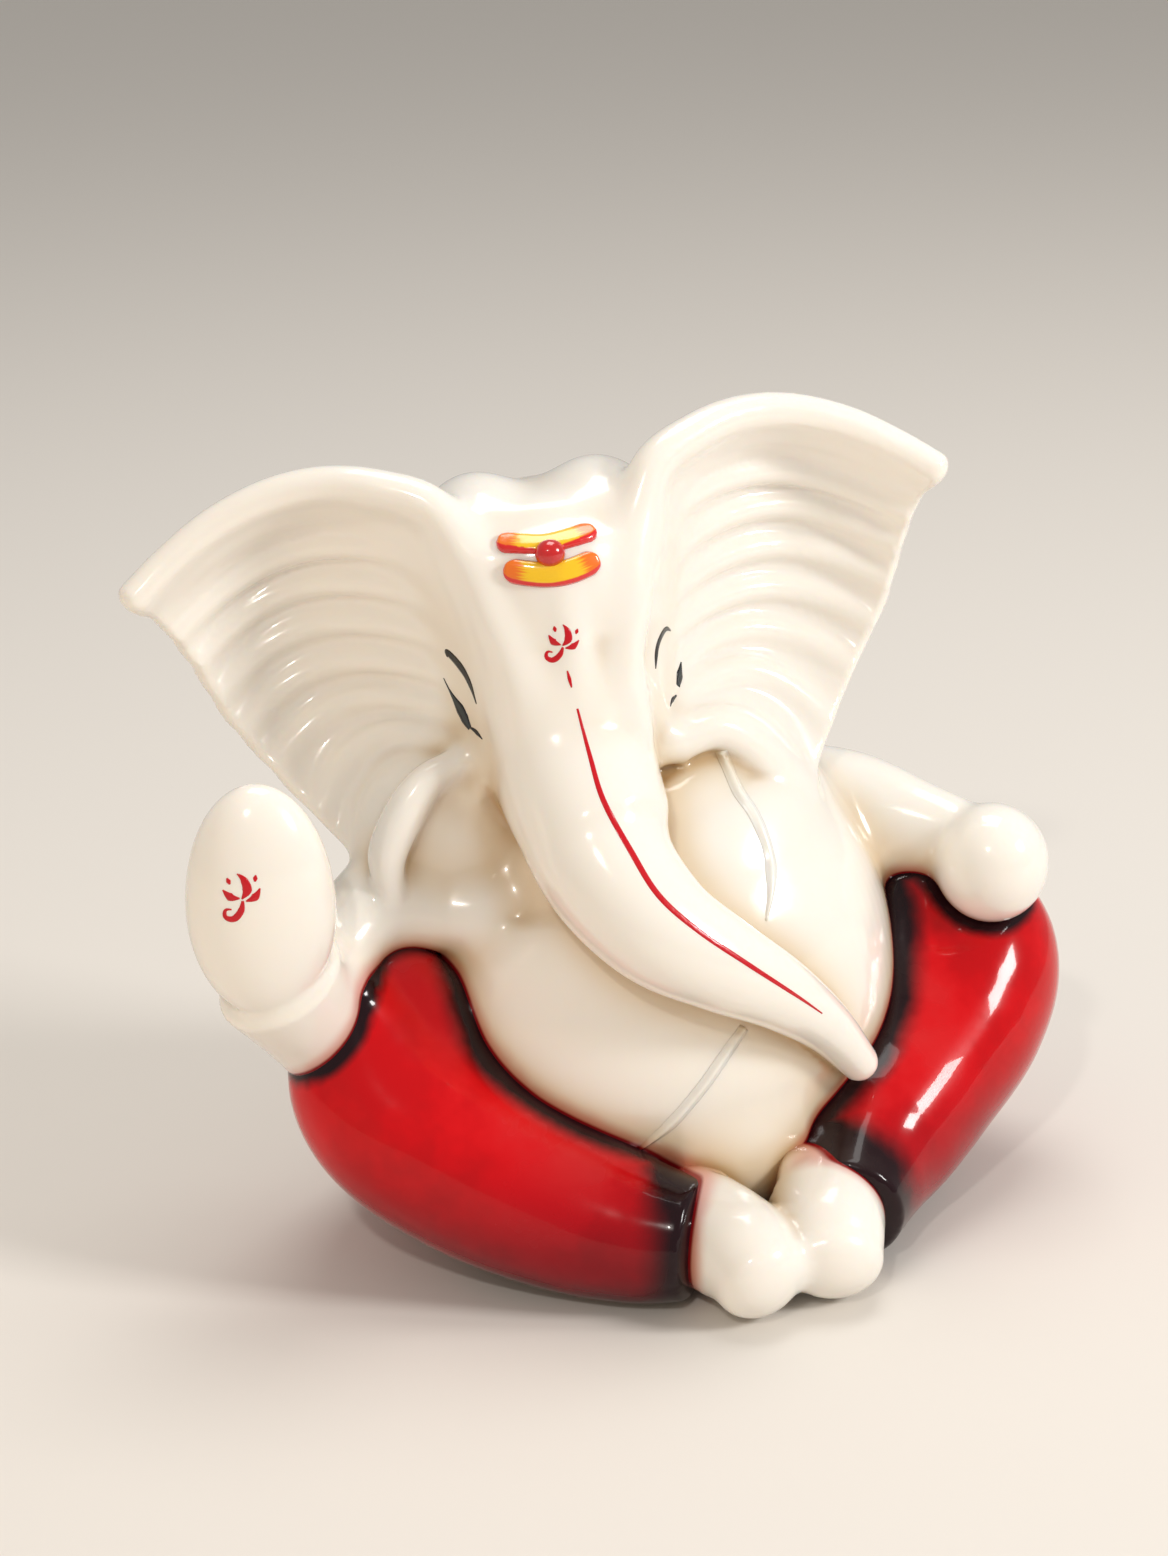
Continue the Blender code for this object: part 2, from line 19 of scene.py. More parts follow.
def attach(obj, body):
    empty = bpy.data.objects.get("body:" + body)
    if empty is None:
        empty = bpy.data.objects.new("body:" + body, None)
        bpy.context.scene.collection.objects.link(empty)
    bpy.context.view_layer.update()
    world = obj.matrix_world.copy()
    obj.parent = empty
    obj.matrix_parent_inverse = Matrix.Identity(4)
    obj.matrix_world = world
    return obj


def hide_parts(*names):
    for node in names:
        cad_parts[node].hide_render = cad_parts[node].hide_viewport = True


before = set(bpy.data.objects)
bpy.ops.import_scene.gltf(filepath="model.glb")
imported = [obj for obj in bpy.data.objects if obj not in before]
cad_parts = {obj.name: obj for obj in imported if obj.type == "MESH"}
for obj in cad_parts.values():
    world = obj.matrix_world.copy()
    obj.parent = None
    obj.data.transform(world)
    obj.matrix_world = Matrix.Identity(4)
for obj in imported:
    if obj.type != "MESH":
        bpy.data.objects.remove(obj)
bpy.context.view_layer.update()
MM = 0.001
print("castings:", ", ".join(sorted(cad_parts)))

# %% [markdown]
# ## Where the viewer stands
#
# The camera is fixed early on, because the painted lines are laid on the skin from where a viewer sees
# them. It looks slightly down on the figure, from its right-hand side.

# %% Camera
CAMERA_AZIMUTH = -18.0
CAMERA_ELEVATION = 20.0
CAMERA_ROLL = 2.0
CAMERA_DISTANCE = 850.0
CAMERA_LENS = 74.1
CAMERA_TARGET = np.array([-18.0, 0.0, 122.0])


def camera_axes():
    """The directions right, up and back of the camera."""
    turn, rise, roll = (math.radians(a) for a in (CAMERA_AZIMUTH, CAMERA_ELEVATION, CAMERA_ROLL))
    back = np.array([math.sin(turn) * math.cos(rise), -math.cos(turn) * math.cos(rise), math.sin(rise)])
    right = np.array([math.cos(turn), math.sin(turn), 0.0])
    up = np.cross(back, right)
    return right * math.cos(roll) - up * math.sin(roll), right * math.sin(roll) + up * math.cos(roll), back


RIGHT, UP, BACK = camera_axes()
EYE = CAMERA_TARGET + BACK * CAMERA_DISTANCE
camera_data = bpy.data.cameras.new("camera")
camera_data.lens = CAMERA_LENS
camera_data.sensor_width = 36.0
camera = bpy.data.objects.new("camera", camera_data)
bpy.context.scene.collection.objects.link(camera)
turned = Matrix([[RIGHT[k], UP[k], BACK[k], 0.0] for k in range(3)] + [[0, 0, 0, 1]])
camera.matrix_world = Matrix.Translation(Vector(EYE * MM)) @ turned
bpy.context.scene.camera = camera
print("camera at", np.round(EYE, 1))

# %% [markdown]
# ## Simple closed shapes
#
# Two makers are enough for a body like this one. `loft` runs an oval section along a smooth line and
# closes both ends with domes, which gives arms, legs and the trunk. `ball` is a stretched sphere. Both
# give plain lists of points and triangles, because the next step wants numbers and not Blender objects.


# %% Lofts and balls
def smooth_through(stations, count):
    """Catmull-Rom samples through the stations."""
    stations = np.array(stations, float)
    last = len(stations) - 1
    at = np.linspace(0, last - 1e-9, count)
    i = at.astype(int)
    t = (at - i)[:, None]
    p, q, r, s = (stations[np.clip(i + k, 0, last)] for k in (-1, 0, 1, 2))
    return 0.5 * (2 * q + (r - p) * t + (2 * p - 5 * q + 4 * r - s) * t**2 + (3 * q - p - 3 * r + s) * t**3)


def unit(v):
    return v / np.maximum(np.linalg.norm(v, axis=-1, keepdims=True), 1e-12)


def loft(stations, sides=48, rings=60, dome_start=3.0, dome_end=3.0, dome_rings=10):
    """A round-ended solid along stations of x, y, z, half the width and half the depth."""
    samples = smooth_through(stations, rings)
    middles, spans = samples[:, :3], samples[:, 3:5]
    tangents = unit(np.gradient(middles, axis=0))
    wide = np.array([1.0, 0.0, 0.0])
    angles = np.radians(np.linspace(0, 90, dome_rings + 1)[1:])
    steps = [(middles[0] - tangents[0] * dome_start * math.cos(a), math.sin(a), 0) for a in angles[:-1]]
    steps += [(middle, 1.0, k) for k, middle in enumerate(middles)]
    reach = tangents[-1] * dome_end
    steps += [(middles[-1] + reach * math.cos(a), math.sin(a), rings - 1) for a in angles[-2::-1]]
    around = np.linspace(0, 2 * math.pi, sides, endpoint=False)
    points = []
    for middle, scale, k in steps:
        wide = unit(wide - tangents[k] * (wide @ tangents[k]))
        deep = np.cross(tangents[k], wide)
        width_part = np.outer(np.cos(around), wide) * spans[k, 0] * scale
        depth_part = np.outer(np.sin(around), deep) * spans[k, 1] * scale
        points.append(middle + width_part + depth_part)
    return closed_tube(np.array(points), [middles[0] - tangents[0] * dome_start, middles[-1] + reach])


def closed_tube(rows, poles):
    """Joins rows of points into a tube and closes both ends to a pole."""
    count, sides = rows.shape[:2]
    index = np.arange(count * sides).reshape(count, sides)
    nxt = np.roll(index, -1, axis=1)
    a, b, c, d = index[:-1].ravel(), nxt[:-1].ravel(), nxt[1:].ravel(), index[1:].ravel()
    first, last = count * sides, count * sides + 1
    faces = [np.stack([a, b, c], 1), np.stack([a, c, d], 1)]
    faces.append(np.stack([np.full(sides, first), nxt[0], index[0]], 1))
    faces.append(np.stack([np.full(sides, last), index[-1], nxt[-1]], 1))
    return np.vstack([rows.reshape(-1, 3), poles]), np.vstack(faces)


def ball(centre, radii, matrix=None, sides=64, rings=40):
    """A stretched sphere, moved by a matrix if one is given."""
    down = np.linspace(0, math.pi, rings + 2)[1:-1]
    around = np.linspace(0, 2 * math.pi, sides, endpoint=False)
    rows = np.stack([np.outer(np.sin(down), np.cos(around)), np.outer(np.sin(down), np.sin(around)),
                     np.outer(np.cos(down), np.ones(sides))], -1)
    points, faces = closed_tube(rows, [(0, 0, 1), (0, 0, -1)])
    points = points * np.array(radii) + np.array(centre)
    return (moved(points, matrix) if matrix is not None else points), faces


def moved(points, matrix):
    m = np.array(matrix)
    return np.asarray(points, float) @ m[:3, :3].T + m[:3, 3]


def placed(stations, matrix):
    """Stations with their middles moved by a matrix."""
    stations = np.array(stations, float)
    return np.hstack([moved(stations[:, :3], matrix), stations[:, 3:]])


# %% [markdown]
# ## Distance fields
#
# A distance field stores, for every point of a lattice, how far that point is from a surface: negative
# inside, positive outside. Two fields are joined by taking the smaller of the two, and if the corner
# between them is rounded by a few millimetres you get exactly the soft fillet that a wet sponge leaves in
# clay. OpenVDB, which comes with Blender, turns a closed mesh into such a field and reads a mesh back out
# of it.

# %% Fields and blends
VOXEL = 1.0
BAND = 12.0
SMOOTHING = 0.5
SWELLING = -0.52
LATTICE_LOW = np.array([-142, -102, -6]) / VOXEL
LATTICE_HIGH = np.array([126, 74, 232]) / VOXEL
START = tuple(int(v) for v in np.floor(LATTICE_LOW))
SHAPE = tuple(int(v) for v in np.ceil(LATTICE_HIGH) - np.floor(LATTICE_LOW))
SCALING = vdb.createLinearTransform(voxelSize=VOXEL)


def field(shape):
    """The distance field of closed points and triangles, in millimetres, cut off at the band."""
    points, faces = shape
    grid = vdb.FloatGrid.createLevelSetFromPolygons(
        np.ascontiguousarray(points, np.float32),
        triangles=np.ascontiguousarray(faces, np.uint32),
        transform=SCALING,
        halfWidth=BAND / VOXEL,
    )
    made = np.full(SHAPE, BAND, np.float32)
    grid.copyToArray(made, ijk=START)
    return made


def blend(a, b, radius):
    """Joins two fields and fills the corner between them to about this radius."""
    near = np.maximum(radius - np.abs(a - b), 0) / radius
    return np.minimum(a, b) - near * near * (radius / 4)


def carve(a, b, radius=0.5):
    """Takes b out of a, with the new edge rounded a little."""
    return -blend(-a, b, radius)


def height_field(z):
    """The field of the space under a level."""
    levels = (np.arange(SHAPE[2]) + START[2]) * VOXEL - z
    return np.broadcast_to(levels.astype(np.float32), SHAPE)


def skin(values):
    """The zero surface of a field, as points and quads."""
    grid = vdb.FloatGrid(BAND)
    grid.copyFromArray(np.ascontiguousarray(values, np.float32), ijk=START)
    grid.transform = SCALING
    points, quads = grid.convertToQuads(isovalue=0.0)
    return points.astype(float), quads


def relaxed(points, quads, rounds):
    """Evens out the lattice's fine steps: each round smooths and then swells back, so nothing shrinks."""
    edges = np.vstack([quads[:, [0, 1]], quads[:, [1, 2]], quads[:, [2, 3]], quads[:, [3, 0]]])
    count = np.bincount(edges.ravel(), minlength=len(points))[:, None]
    for step in range(rounds * 2):
        total = np.zeros_like(points)
        for axis in range(3):
            total[:, axis] = np.bincount(edges[:, 0], points[edges[:, 1], axis], len(points))
            total[:, axis] += np.bincount(edges[:, 1], points[edges[:, 0], axis], len(points))
        points = points + (total / count - points) * (SMOOTHING if step % 2 == 0 else SWELLING)
    return points


def sample(values, points):
    """A field's values at free points, read between the lattice points."""
    at = np.clip(points / VOXEL - np.array(START), 0, np.array(SHAPE) - 1.001)
    low = at.astype(int)
    part = at - low
    total = np.zeros(len(points))
    for corner in range(8):
        step = np.array([corner & 1, corner >> 1 & 1, corner >> 2 & 1])
        weight = np.prod(np.where(step, part, 1 - part), axis=1)
        x, y, z = (low + step).T
        total += weight * values[x, y, z]
    return total


print("lattice", SHAPE, "at", VOXEL, "mm")

# %% [markdown]
# ## The head's own frame
#
# The head is turned and tilted, as it would be by hand while the clay is soft. Everything on it is drawn
# for a head that looks straight ahead and then moved by one matrix, so that both ears can share one
# pattern.

# %% Head frame
HEAD_SHIFT = -24.0
HEAD_TURN = -8.0
HEAD_TILT = -4.0
HEAD_TILT_HEIGHT = 150.0


def head_frame():
    pivot = Matrix.Translation((0, 0, HEAD_TILT_HEIGHT))
    turn = Matrix.Rotation(math.radians(HEAD_TURN), 4, "Z")
    tilt = Matrix.Rotation(math.radians(HEAD_TILT), 4, "Y")
    return Matrix.Translation((HEAD_SHIFT, 0, 0)) @ turn @ pivot @ tilt @ pivot.inverted()


HEAD = head_frame()
print("head turned", HEAD_TURN, "and tilted", HEAD_TILT, "degrees")

# %% [markdown]
# ## Torso, arms and hands
#
# The torso is one loft from the foot ring to the neck, wide at the belly. The arms leave it at the
# shoulders with a wide fillet, and thin lofts of extra clay fill the armpits and the lower belly. Hands
# are plain eggs here, because the figure is stylised and has no fingers; they meet the arm in a tight
# crease, which a potter leaves where two pieces are luted together.

# %% Torso, arms and hands
TORSO = [
    (0, 2, -8, 12, 10),
    (0, 2, 1, 32, 27),
    (0, 2, 15, 51, 44),
    (0, 2, 35, 64.5, 56),
    (0, 2, 58, 69, 60),
    (0, 2, 80, 65, 56.5),
    (-2, 4, 98, 56, 48),
    (-6, 6, 111, 48, 39),
    (-9, 8, 122, 36, 30),
    (-11, 8, 130, 22, 19),
]
NECK = [(-24, 0, 152, 20, 20), (-16, 4, 120, 21, 21)]
RIGHT_ARM = [(-44, 14, 94, 15, 15), (-66, 11, 90, 13, 13), (-84, 0, 83, 12.5, 12.5),
             (-97, -13, 79, 13, 12.5)]
RIGHT_FOREARM = [(-97, -17, 68, 13, 12.5), (-103, -22, 80, 15.5, 14), (-110, -28, 91, 17, 14)]
LEFT_ARM = [(44, 12, 102, 17, 17), (62, 5, 101, 14, 14.5), (77, -8, 98, 10, 10.5), (87, -19, 94, 9, 9.5)]
CLAY_FILLS = [
    [(-60, 4, 102, 15, 15), (-78, -5, 98, 12, 12), (-95, -16, 88, 11, 11)],
    [(48, 4, 91, 14, 14), (66, -1, 92, 11.5, 11.5), (84, -12, 92, 9, 9)],
    [(-34, -2, 95, 9, 9), (-49, -11, 94, 11, 11), (-62, -9, 94, 10, 10), (-75, -8, 97, 9, 9)],
    [(-8, -34, 31, 20, 21), (6, -36, 29, 22, 22), (18, -34, 31, 20, 21)],
]
PALM_SIZE = (18.7, 12.0, 29.0)
PALM_TOP = 32.5
PALM_FRAME = Matrix.Translation((-114.2, -33, 113)) @ Matrix.Rotation(math.radians(-12), 4, "Z")
FIST_FRONT = ((89.5, -24.5, 90.0), (15.5, 15.5, 16.5))
FIST_BACK = ((93, -19, 88), (14.5, 14, 15))
NECK_FILLET = 8
ELBOW_FILLET = 7
RIGHT_SHOULDER_FILLET = 6.0
LEFT_SHOULDER_FILLET = 8.0
WRIST_FILLET = 2.5
FIST_FILLET = 1.5
CLAY_FILLET = 7.0

torso = field(loft(TORSO, sides=96, rings=90, dome_start=1))
right_forearm = field(loft(RIGHT_FOREARM, dome_start=8, dome_end=4))
right_arm = blend(field(loft(RIGHT_ARM, dome_start=8, dome_end=8)), right_forearm, ELBOW_FILLET)
left_arm = field(loft(LEFT_ARM, dome_start=8, dome_end=5))
egg_points, egg_faces = ball((0, 0, 0), PALM_SIZE)
egg_points[:, 2] *= np.where(egg_points[:, 2] > 0, PALM_TOP / PALM_SIZE[2], 1.0)
palm = field((moved(egg_points, PALM_FRAME), egg_faces))
fist = blend(field(ball(*FIST_FRONT)), field(ball(*FIST_BACK)), FIST_FILLET)
body = blend(torso, field(loft(NECK, dome_start=4, dome_end=4)), NECK_FILLET)
body = blend(body, blend(right_arm, palm, WRIST_FILLET), RIGHT_SHOULDER_FILLET)
body = blend(body, blend(left_arm, fist, WRIST_FILLET), LEFT_SHOULDER_FILLET)
for line in CLAY_FILLS:
    body = blend(body, field(loft(line, dome_start=6, dome_end=6)), CLAY_FILLET)
print("torso, arms and hands joined")

# %% [markdown]
# ## Skull, crown and trunk
#
# The skull and the trunk are one long loft: it starts at the crown, narrows between the eyes and swings
# across the belly to a blunt tip. Two low balls make the twin swellings of the crown.

# %% Skull and trunk
SKULL = [
    (0, 6, 198, 27, 22),
    (0, 5, 189, 32, 30),
    (0, 2, 176, 31, 32),
    (0, -1, 161, 28, 31),
    (0, -8, 147, 25.5, 27),
    (-1, -19, 133, 22, 21.5),
]
TRUNK = [
    (-28, -33, 125, 20, 18),
    (-26.5, -46, 113, 17.5, 16.5),
    (-18, -57, 101, 15.4, 14.5),
    (-4, -62, 91, 12.7, 12),
    (12, -62, 80, 9.8, 9.5),
    (27, -57, 66, 7.2, 7.2),
    (38, -53, 52, 5.2, 5.2),
]
BROW_TO_TRUNK = [(-32, -13, 172, 17, 11), (-31.5, -18.6, 158.5, 18, 13), (-30, -23.3, 147.4, 18, 13),
                 (-28.5, -29.6, 136.5, 17, 13), (-26, -40, 125, 15, 13)]
FOREHEAD_RIDGE = [(0, -25, 182, 3, 3), (0, -28.6, 170, 3, 3), (0, -29.6, 158, 3, 3), (0, -31, 147, 2, 2)]
CROWN_SIZE = (16.5, 22, 17.5)
CROWN_FILLET = 4
BROW_FILLET = 7
RIDGE_FILLET = 5

skull_and_trunk = np.vstack([placed(SKULL, HEAD), TRUNK])
head = field(loft(skull_and_trunk, sides=72, rings=160, dome_start=5, dome_end=5))
for side in (-1, 1):
    head = blend(head, field(ball((side * 15.5, 4, 189.7), CROWN_SIZE, HEAD)), CROWN_FILLET)
head = blend(head, field(loft(BROW_TO_TRUNK, sides=56)), BROW_FILLET)
head = blend(head, field(loft(placed(FOREHEAD_RIDGE, HEAD), sides=24, rings=40)), RIDGE_FILLET)
print("head formed")

# %% [markdown]
# ## Fan ears
#
# An ear is a sheet between three lines: the root on the skull, the hollow in the middle and the outer
# edge. The ribs are waves that run from root to edge, and the sheet is thickened into a slab. A rolled
# rim, which is a loft of its own, runs from beside the eye over the crown to the tip. Both ears come from
# one pattern; the right one hangs a little lower and is tucked in.

# %% Ears
EAR_ROOT = [(29, -8, 203), (26, -14, 190), (21, -16, 174), (20, -15, 160), (21, -14, 148), (23, -17, 138),
            (27, -16, 129)]
EAR_HOLLOW = [(64, 3, 211), (62, 14, 195), (60, 17, 181), (57, 17, 166), (53, 14, 152), (49, 4, 140),
              (43, -13, 128)]
EAR_EDGE = [(105.5, 2, 190), (100, 8, 178), (96, 11, 166), (91, 12, 152), (82, 10, 138), (70, 1, 122),
            (57.5, -13, 105)]
EAR_RIM = [
    (15, -29, 142, 1.0, 1.0),
    (14, -27.5, 152, 2.4, 2.4),
    (14, -26.5, 162, 3.6, 3.6),
    (17.5, -22.5, 176, 4.4, 4.4),
    (22, -15.5, 192, 5.0, 5.0),
    (28.5, -9.5, 205, 5.4, 5.4),
    (41, -4, 210.5, 5.2, 5.2),
    (54, 1, 212.5, 4.8, 4.8),
    (68, 4, 211, 4.4, 4.4),
    (83, 5, 205.5, 4.1, 4.1),
    (96, 4, 197.5, 4.0, 4.0),
    (105.5, 2, 190, 4.4, 4.4),
]
EAR_THICKNESS = 4.6
EAR_CORE = 2.4
EAR_FILLET = 6.5
RIM_FILLET = 4.5
EAR_LIFT = 1.2
RIGHT_EAR_TUCK = 5.0
RIGHT_LOBE_TUCK = 9.0
RIB_COUNT = 8
RIB_HEIGHT = 1.7


def on_head(side, points, tuck=0.0):
    """Takes places on the left ear's pattern to the left or the right ear on the turned head."""
    points = np.array(points, float)
    points[..., 0] = side * (points[..., 0] - (tuck if side < 0 else 0.0))
    points[..., 2] += side * EAR_LIFT
    return moved(points.reshape(-1, 3), HEAD).reshape(points.shape)


def normals_of(sheet):
    """The direction that each point of a sheet faces."""
    return unit(np.cross(np.gradient(sheet, axis=1), np.gradient(sheet, axis=0)))


def ear_sheet(side, along_count=180, out_count=90):
    """The ribbed middle sheet of an ear as rows of points from the top rim to the lobe."""
    along = np.linspace(0, 1, along_count)[:, None, None]
    out = np.linspace(0, 1, out_count)[None, :, None]
    lines = (EAR_ROOT, EAR_HOLLOW, EAR_EDGE)
    root, hollow, edge = (smooth_through(line, along_count)[:, None] for line in lines)
    pull = 2 * hollow - (root + edge) / 2
    sheet = root * (1 - out) ** 2 + pull * 2 * out * (1 - out) + edge * out**2
    wave = 2 * math.pi * RIB_COUNT * along
    rib = np.cos(wave) - 0.22 * np.cos(2 * wave)
    fade = np.clip(out * 3.2 - 0.25, 0, 1) * np.clip(along * 5, 0, 1) * (1 - 0.75 * out**4)
    sheet = sheet + normals_of(sheet) * RIB_HEIGHT * rib * fade
    tuck = out * (RIGHT_EAR_TUCK * np.sin(math.pi * along) + RIGHT_LOBE_TUCK * along**7)
    return on_head(side, sheet, tuck[..., 0])


def slab(sheet, thickness):
    """A closed slab around a sheet."""
    count = sheet.shape[0] * sheet.shape[1]
    front = np.arange(count).reshape(sheet.shape[:2])
    a, b = front[:-1, :-1].ravel(), front[1:, :-1].ravel()
    c, d = front[1:, 1:].ravel(), front[:-1, 1:].ravel()
    faces = [np.stack([a, b, c], 1), np.stack([a, c, d], 1)]
    faces += [f[:, ::-1] + count for f in faces]
    border = np.concatenate([front[:-1, 0], front[-1, :-1], front[:0:-1, -1], front[0, :0:-1]])
    ahead = np.roll(border, -1)
    faces += [np.stack([border, border + count, ahead], 1)[:, ::-1]]
    faces += [np.stack([ahead, border + count, ahead + count], 1)[:, ::-1]]
    offset = normals_of(sheet) * thickness / 2
    return np.vstack([(sheet + offset).reshape(-1, 3), (sheet - offset).reshape(-1, 3)]), np.vstack(faces)


rim_line = np.array(EAR_RIM)
for side in (-1, 1):
    ear = field(slab(ear_sheet(side), EAR_CORE)) - (EAR_THICKNESS - EAR_CORE) / 2
    rim_stations = np.hstack([on_head(side, rim_line[:, :3]), rim_line[:, 3:]])
    rim = field(loft(rim_stations, sides=32, rings=140, dome_start=2))
    head = blend(head, blend(ear, rim, RIM_FILLET), EAR_FILLET)
print("ears blended on")

# %% [markdown]
# ## Where the ears meet the shoulders
#
# At its lower root an ear curls over in a small arch and comes down to a rounded lobe that rests on the
# shoulder. The arch and the lobe are one thin loft per ear, and a soft ball behind it fills the hollow of
# the neck.

# %% Ear folds
EAR_FOLDS = {
    "right": [(-48, -9, 137, 1.5, 1.5), (-57, -11, 135.5, 3, 3), (-65.5, -12.5, 131.5, 4.4, 4.4),
              (-72, -13.5, 123.5, 5.2, 5.2), (-76.5, -14, 114, 5, 5), (-76.5, -15, 104.5, 3.6, 3.6)],
    "left": [(-2, -21, 135, 3, 3), (5, -20, 137, 4, 4), (13, -19.5, 137.5, 4.2, 4.2),
             (21, -19, 132.5, 4.5, 4.5), (28, -18.5, 124, 4.7, 4.7), (33, -18, 116.5, 4.7, 4.7),
             (37.5, -18, 110, 3.4, 3.4)],
}
NECK_FILLS = {"right": ((-54, 2, 115), (25, 16, 22)), "left": ((10, -4, 119), (22, 16, 17))}
FOLD_FILLET = 6.0
for which, line in EAR_FOLDS.items():
    fill = field(ball(*NECK_FILLS[which]))
    fold = field(loft(line, sides=28, rings=70, dome_end=3.5))
    head = blend(blend(head, fill, FOLD_FILLET), fold, FOLD_FILLET)
    body = blend(body, fill, NECK_FILLET)
print("ear folds laid on the shoulders")

# %% [markdown]
# ## One ivory skin
#
# The real figure is a single hollow casting, so head, torso, arms and hands become one skin here. The
# trunk lies on the belly with only a small fillet, because it was laid on as a roll of clay. Last of all
# the vent in the foot is cut out again, and the lattice's steps are relaxed away.

# %% Ivory skin
FOOT_LEVEL = 0.0
VENT_PLACE = (0.0, 16.0)
VENT_SIZE = (8.9, 8.9, 40.0)
VENT_ROUNDING = 0.8
RING_ROUNDING = 1.0
TRUNK_FILLET = 2.4

vent = field(ball((*VENT_PLACE, 0.0), VENT_SIZE))
ivory_field = blend(body, head, TRUNK_FILLET)
ivory_field = carve(ivory_field, height_field(FOOT_LEVEL), RING_ROUNDING)
ivory_field = carve(ivory_field, vent, VENT_ROUNDING)
ivory_points, ivory_quads = skin(ivory_field)
ivory_points = relaxed(ivory_points, ivory_quads, 5)


def volume_of(points, faces):
    """Six times the volume inside closed faces; it is negative where they face inwards."""
    corners = np.asarray(points)[faces]
    crosses = [np.cross(corners[:, k], corners[:, k + 1]) for k in range(1, corners.shape[1] - 1)]
    return sum(np.einsum("ij,ij->i", corners[:, 0], cross).sum() for cross in crosses)


def make_piece(name, points, faces):
    """A smooth-shaded mesh object from points in millimetres, with its outer side out."""
    faces = np.asarray(faces)
    if volume_of(points, faces) < 0:
        faces = faces[:, ::-1]
    mesh = bpy.data.meshes.new(name)
    mesh.from_pydata((np.asarray(points) * MM).tolist(), [], faces.tolist())
    mesh.polygons.foreach_set("use_smooth", [True] * len(mesh.polygons))
    mesh.update()
    piece = bpy.data.objects.new(name, mesh)
    bpy.context.scene.collection.objects.link(piece)
    return piece


def paint(piece, name, values):
    """Stores one number per point, for the materials to read."""
    layer = piece.data.attributes.new(name, "FLOAT", "POINT")
    layer.data.foreach_set("value", np.asarray(values, np.float32))


ivory = make_piece("ivory_casting", ivory_points, ivory_quads)
print("ivory skin:", len(ivory_points), "points")

# %% [markdown]
# ## The red wrap
#
# Crossed legs, thighs and the cloth round the hips are one painted red form. Shins are lofts that fall
# from the knee to the ankle, a thigh loft runs back under the belly, and a few pads fill the lap. All are
# blended with modest radii so that the crease between the leg and the cloth stays readable.

# %% Red wrap
RIGHT_SHIN = [
    (-82, -12, 74, 16, 13),
    (-84, -17, 60, 23, 20),
    (-79, -24, 46, 25, 24),
    (-61, -34, 32, 25, 25),
    (-42, -46, 22.5, 23, 22.5),
    (-27, -58, 18, 19.5, 19.5),
    (-15, -67, 17, 16, 17),
]
LEFT_SHIN = [
    (81, -6, 75, 22, 14),
    (87, -14, 60, 26, 21),
    (80, -21, 46, 26, 24),
    (64, -30, 33, 24.5, 24.5),
    (47, -42, 24, 23, 22.5),
    (36, -54, 19, 19, 19),
    (28, -65, 16, 16, 17),
]
RIGHT_THIGH = [(-57, 19, 33, 20, 20), (-72, 5, 47, 23, 22), (-83, -12, 62, 19, 17)]
LEFT_THIGH = [(61, 19, 33, 20, 20), (76, 6, 47, 23, 22), (86, -10, 62, 20, 17)]
LAP_FILLS = [
    [(-75, -9, 84, 8, 7), (-70, -16, 72, 13, 11), (-66, -24, 58, 14, 12), (-58, -33, 44, 12, 12)],
    [(-91, -21, 80, 9, 8), (-88, -21, 70, 14, 13), (-84, -22, 58, 18, 16)],
    [(-60, 10, 24, 18, 20), (-62, -12, 24, 17, 18), (-56, -30, 20, 16, 17)],
    [(64, 10, 26, 18, 20), (67, -10, 26, 17, 18), (58, -28, 20, 16, 17)],
    [(74, -4, 84, 9, 7), (71, -12, 72, 13, 11), (66, -22, 56, 13, 12), (58, -32, 42, 11, 12)],
]
HIP_BALL = ((3, 22, 25), (82, 44, 38))
HIP_FRONT = -8.0
HIP_TOP = 52.0
KNEE_FILLET = 5
CLOTH_FILLET = 3
LAP_FILLET = 5
RED_ROUNDING = 1.5


def front_field(y):
    """The field of the space behind an upright plane across the figure."""
    levels = y - (np.arange(SHAPE[1]) + START[1]) * VOXEL
    return np.broadcast_to(levels.astype(np.float32)[None, :, None], SHAPE)


wrap_field = np.maximum(field(ball(*HIP_BALL)), height_field(HIP_TOP))
wrap_field = np.maximum(wrap_field, front_field(HIP_FRONT))
for shin_line, thigh_line in ((RIGHT_SHIN, RIGHT_THIGH), (LEFT_SHIN, LEFT_THIGH)):
    shin = field(loft(shin_line, sides=56, rings=90, dome_start=14))
    thigh = field(loft(thigh_line, dome_start=8, dome_end=8))
    wrap_field = blend(wrap_field, blend(shin, thigh, KNEE_FILLET), CLOTH_FILLET)
for line in LAP_FILLS:
    wrap_field = blend(wrap_field, field(loft(line, dome_start=6, dome_end=4)), LAP_FILLET)
wrap_field = carve(wrap_field, height_field(FOOT_LEVEL), RED_ROUNDING)
wrap_field = carve(wrap_field, vent, VENT_ROUNDING)
wrap_points, wrap_quads = skin(wrap_field)
wrap_points = relaxed(wrap_points, wrap_quads, 5)
wrap = make_piece("red_wrap", wrap_points, wrap_quads)
print("red wrap:", len(wrap_points), "points")

# %% [markdown]
# ## Feet
#
# Each foot is a plain rounded loaf that tucks under the belly, with a soft saddle where the two touch.
# The pair has a skin of its own, because a dark painted cuff separates it from the red cloth.

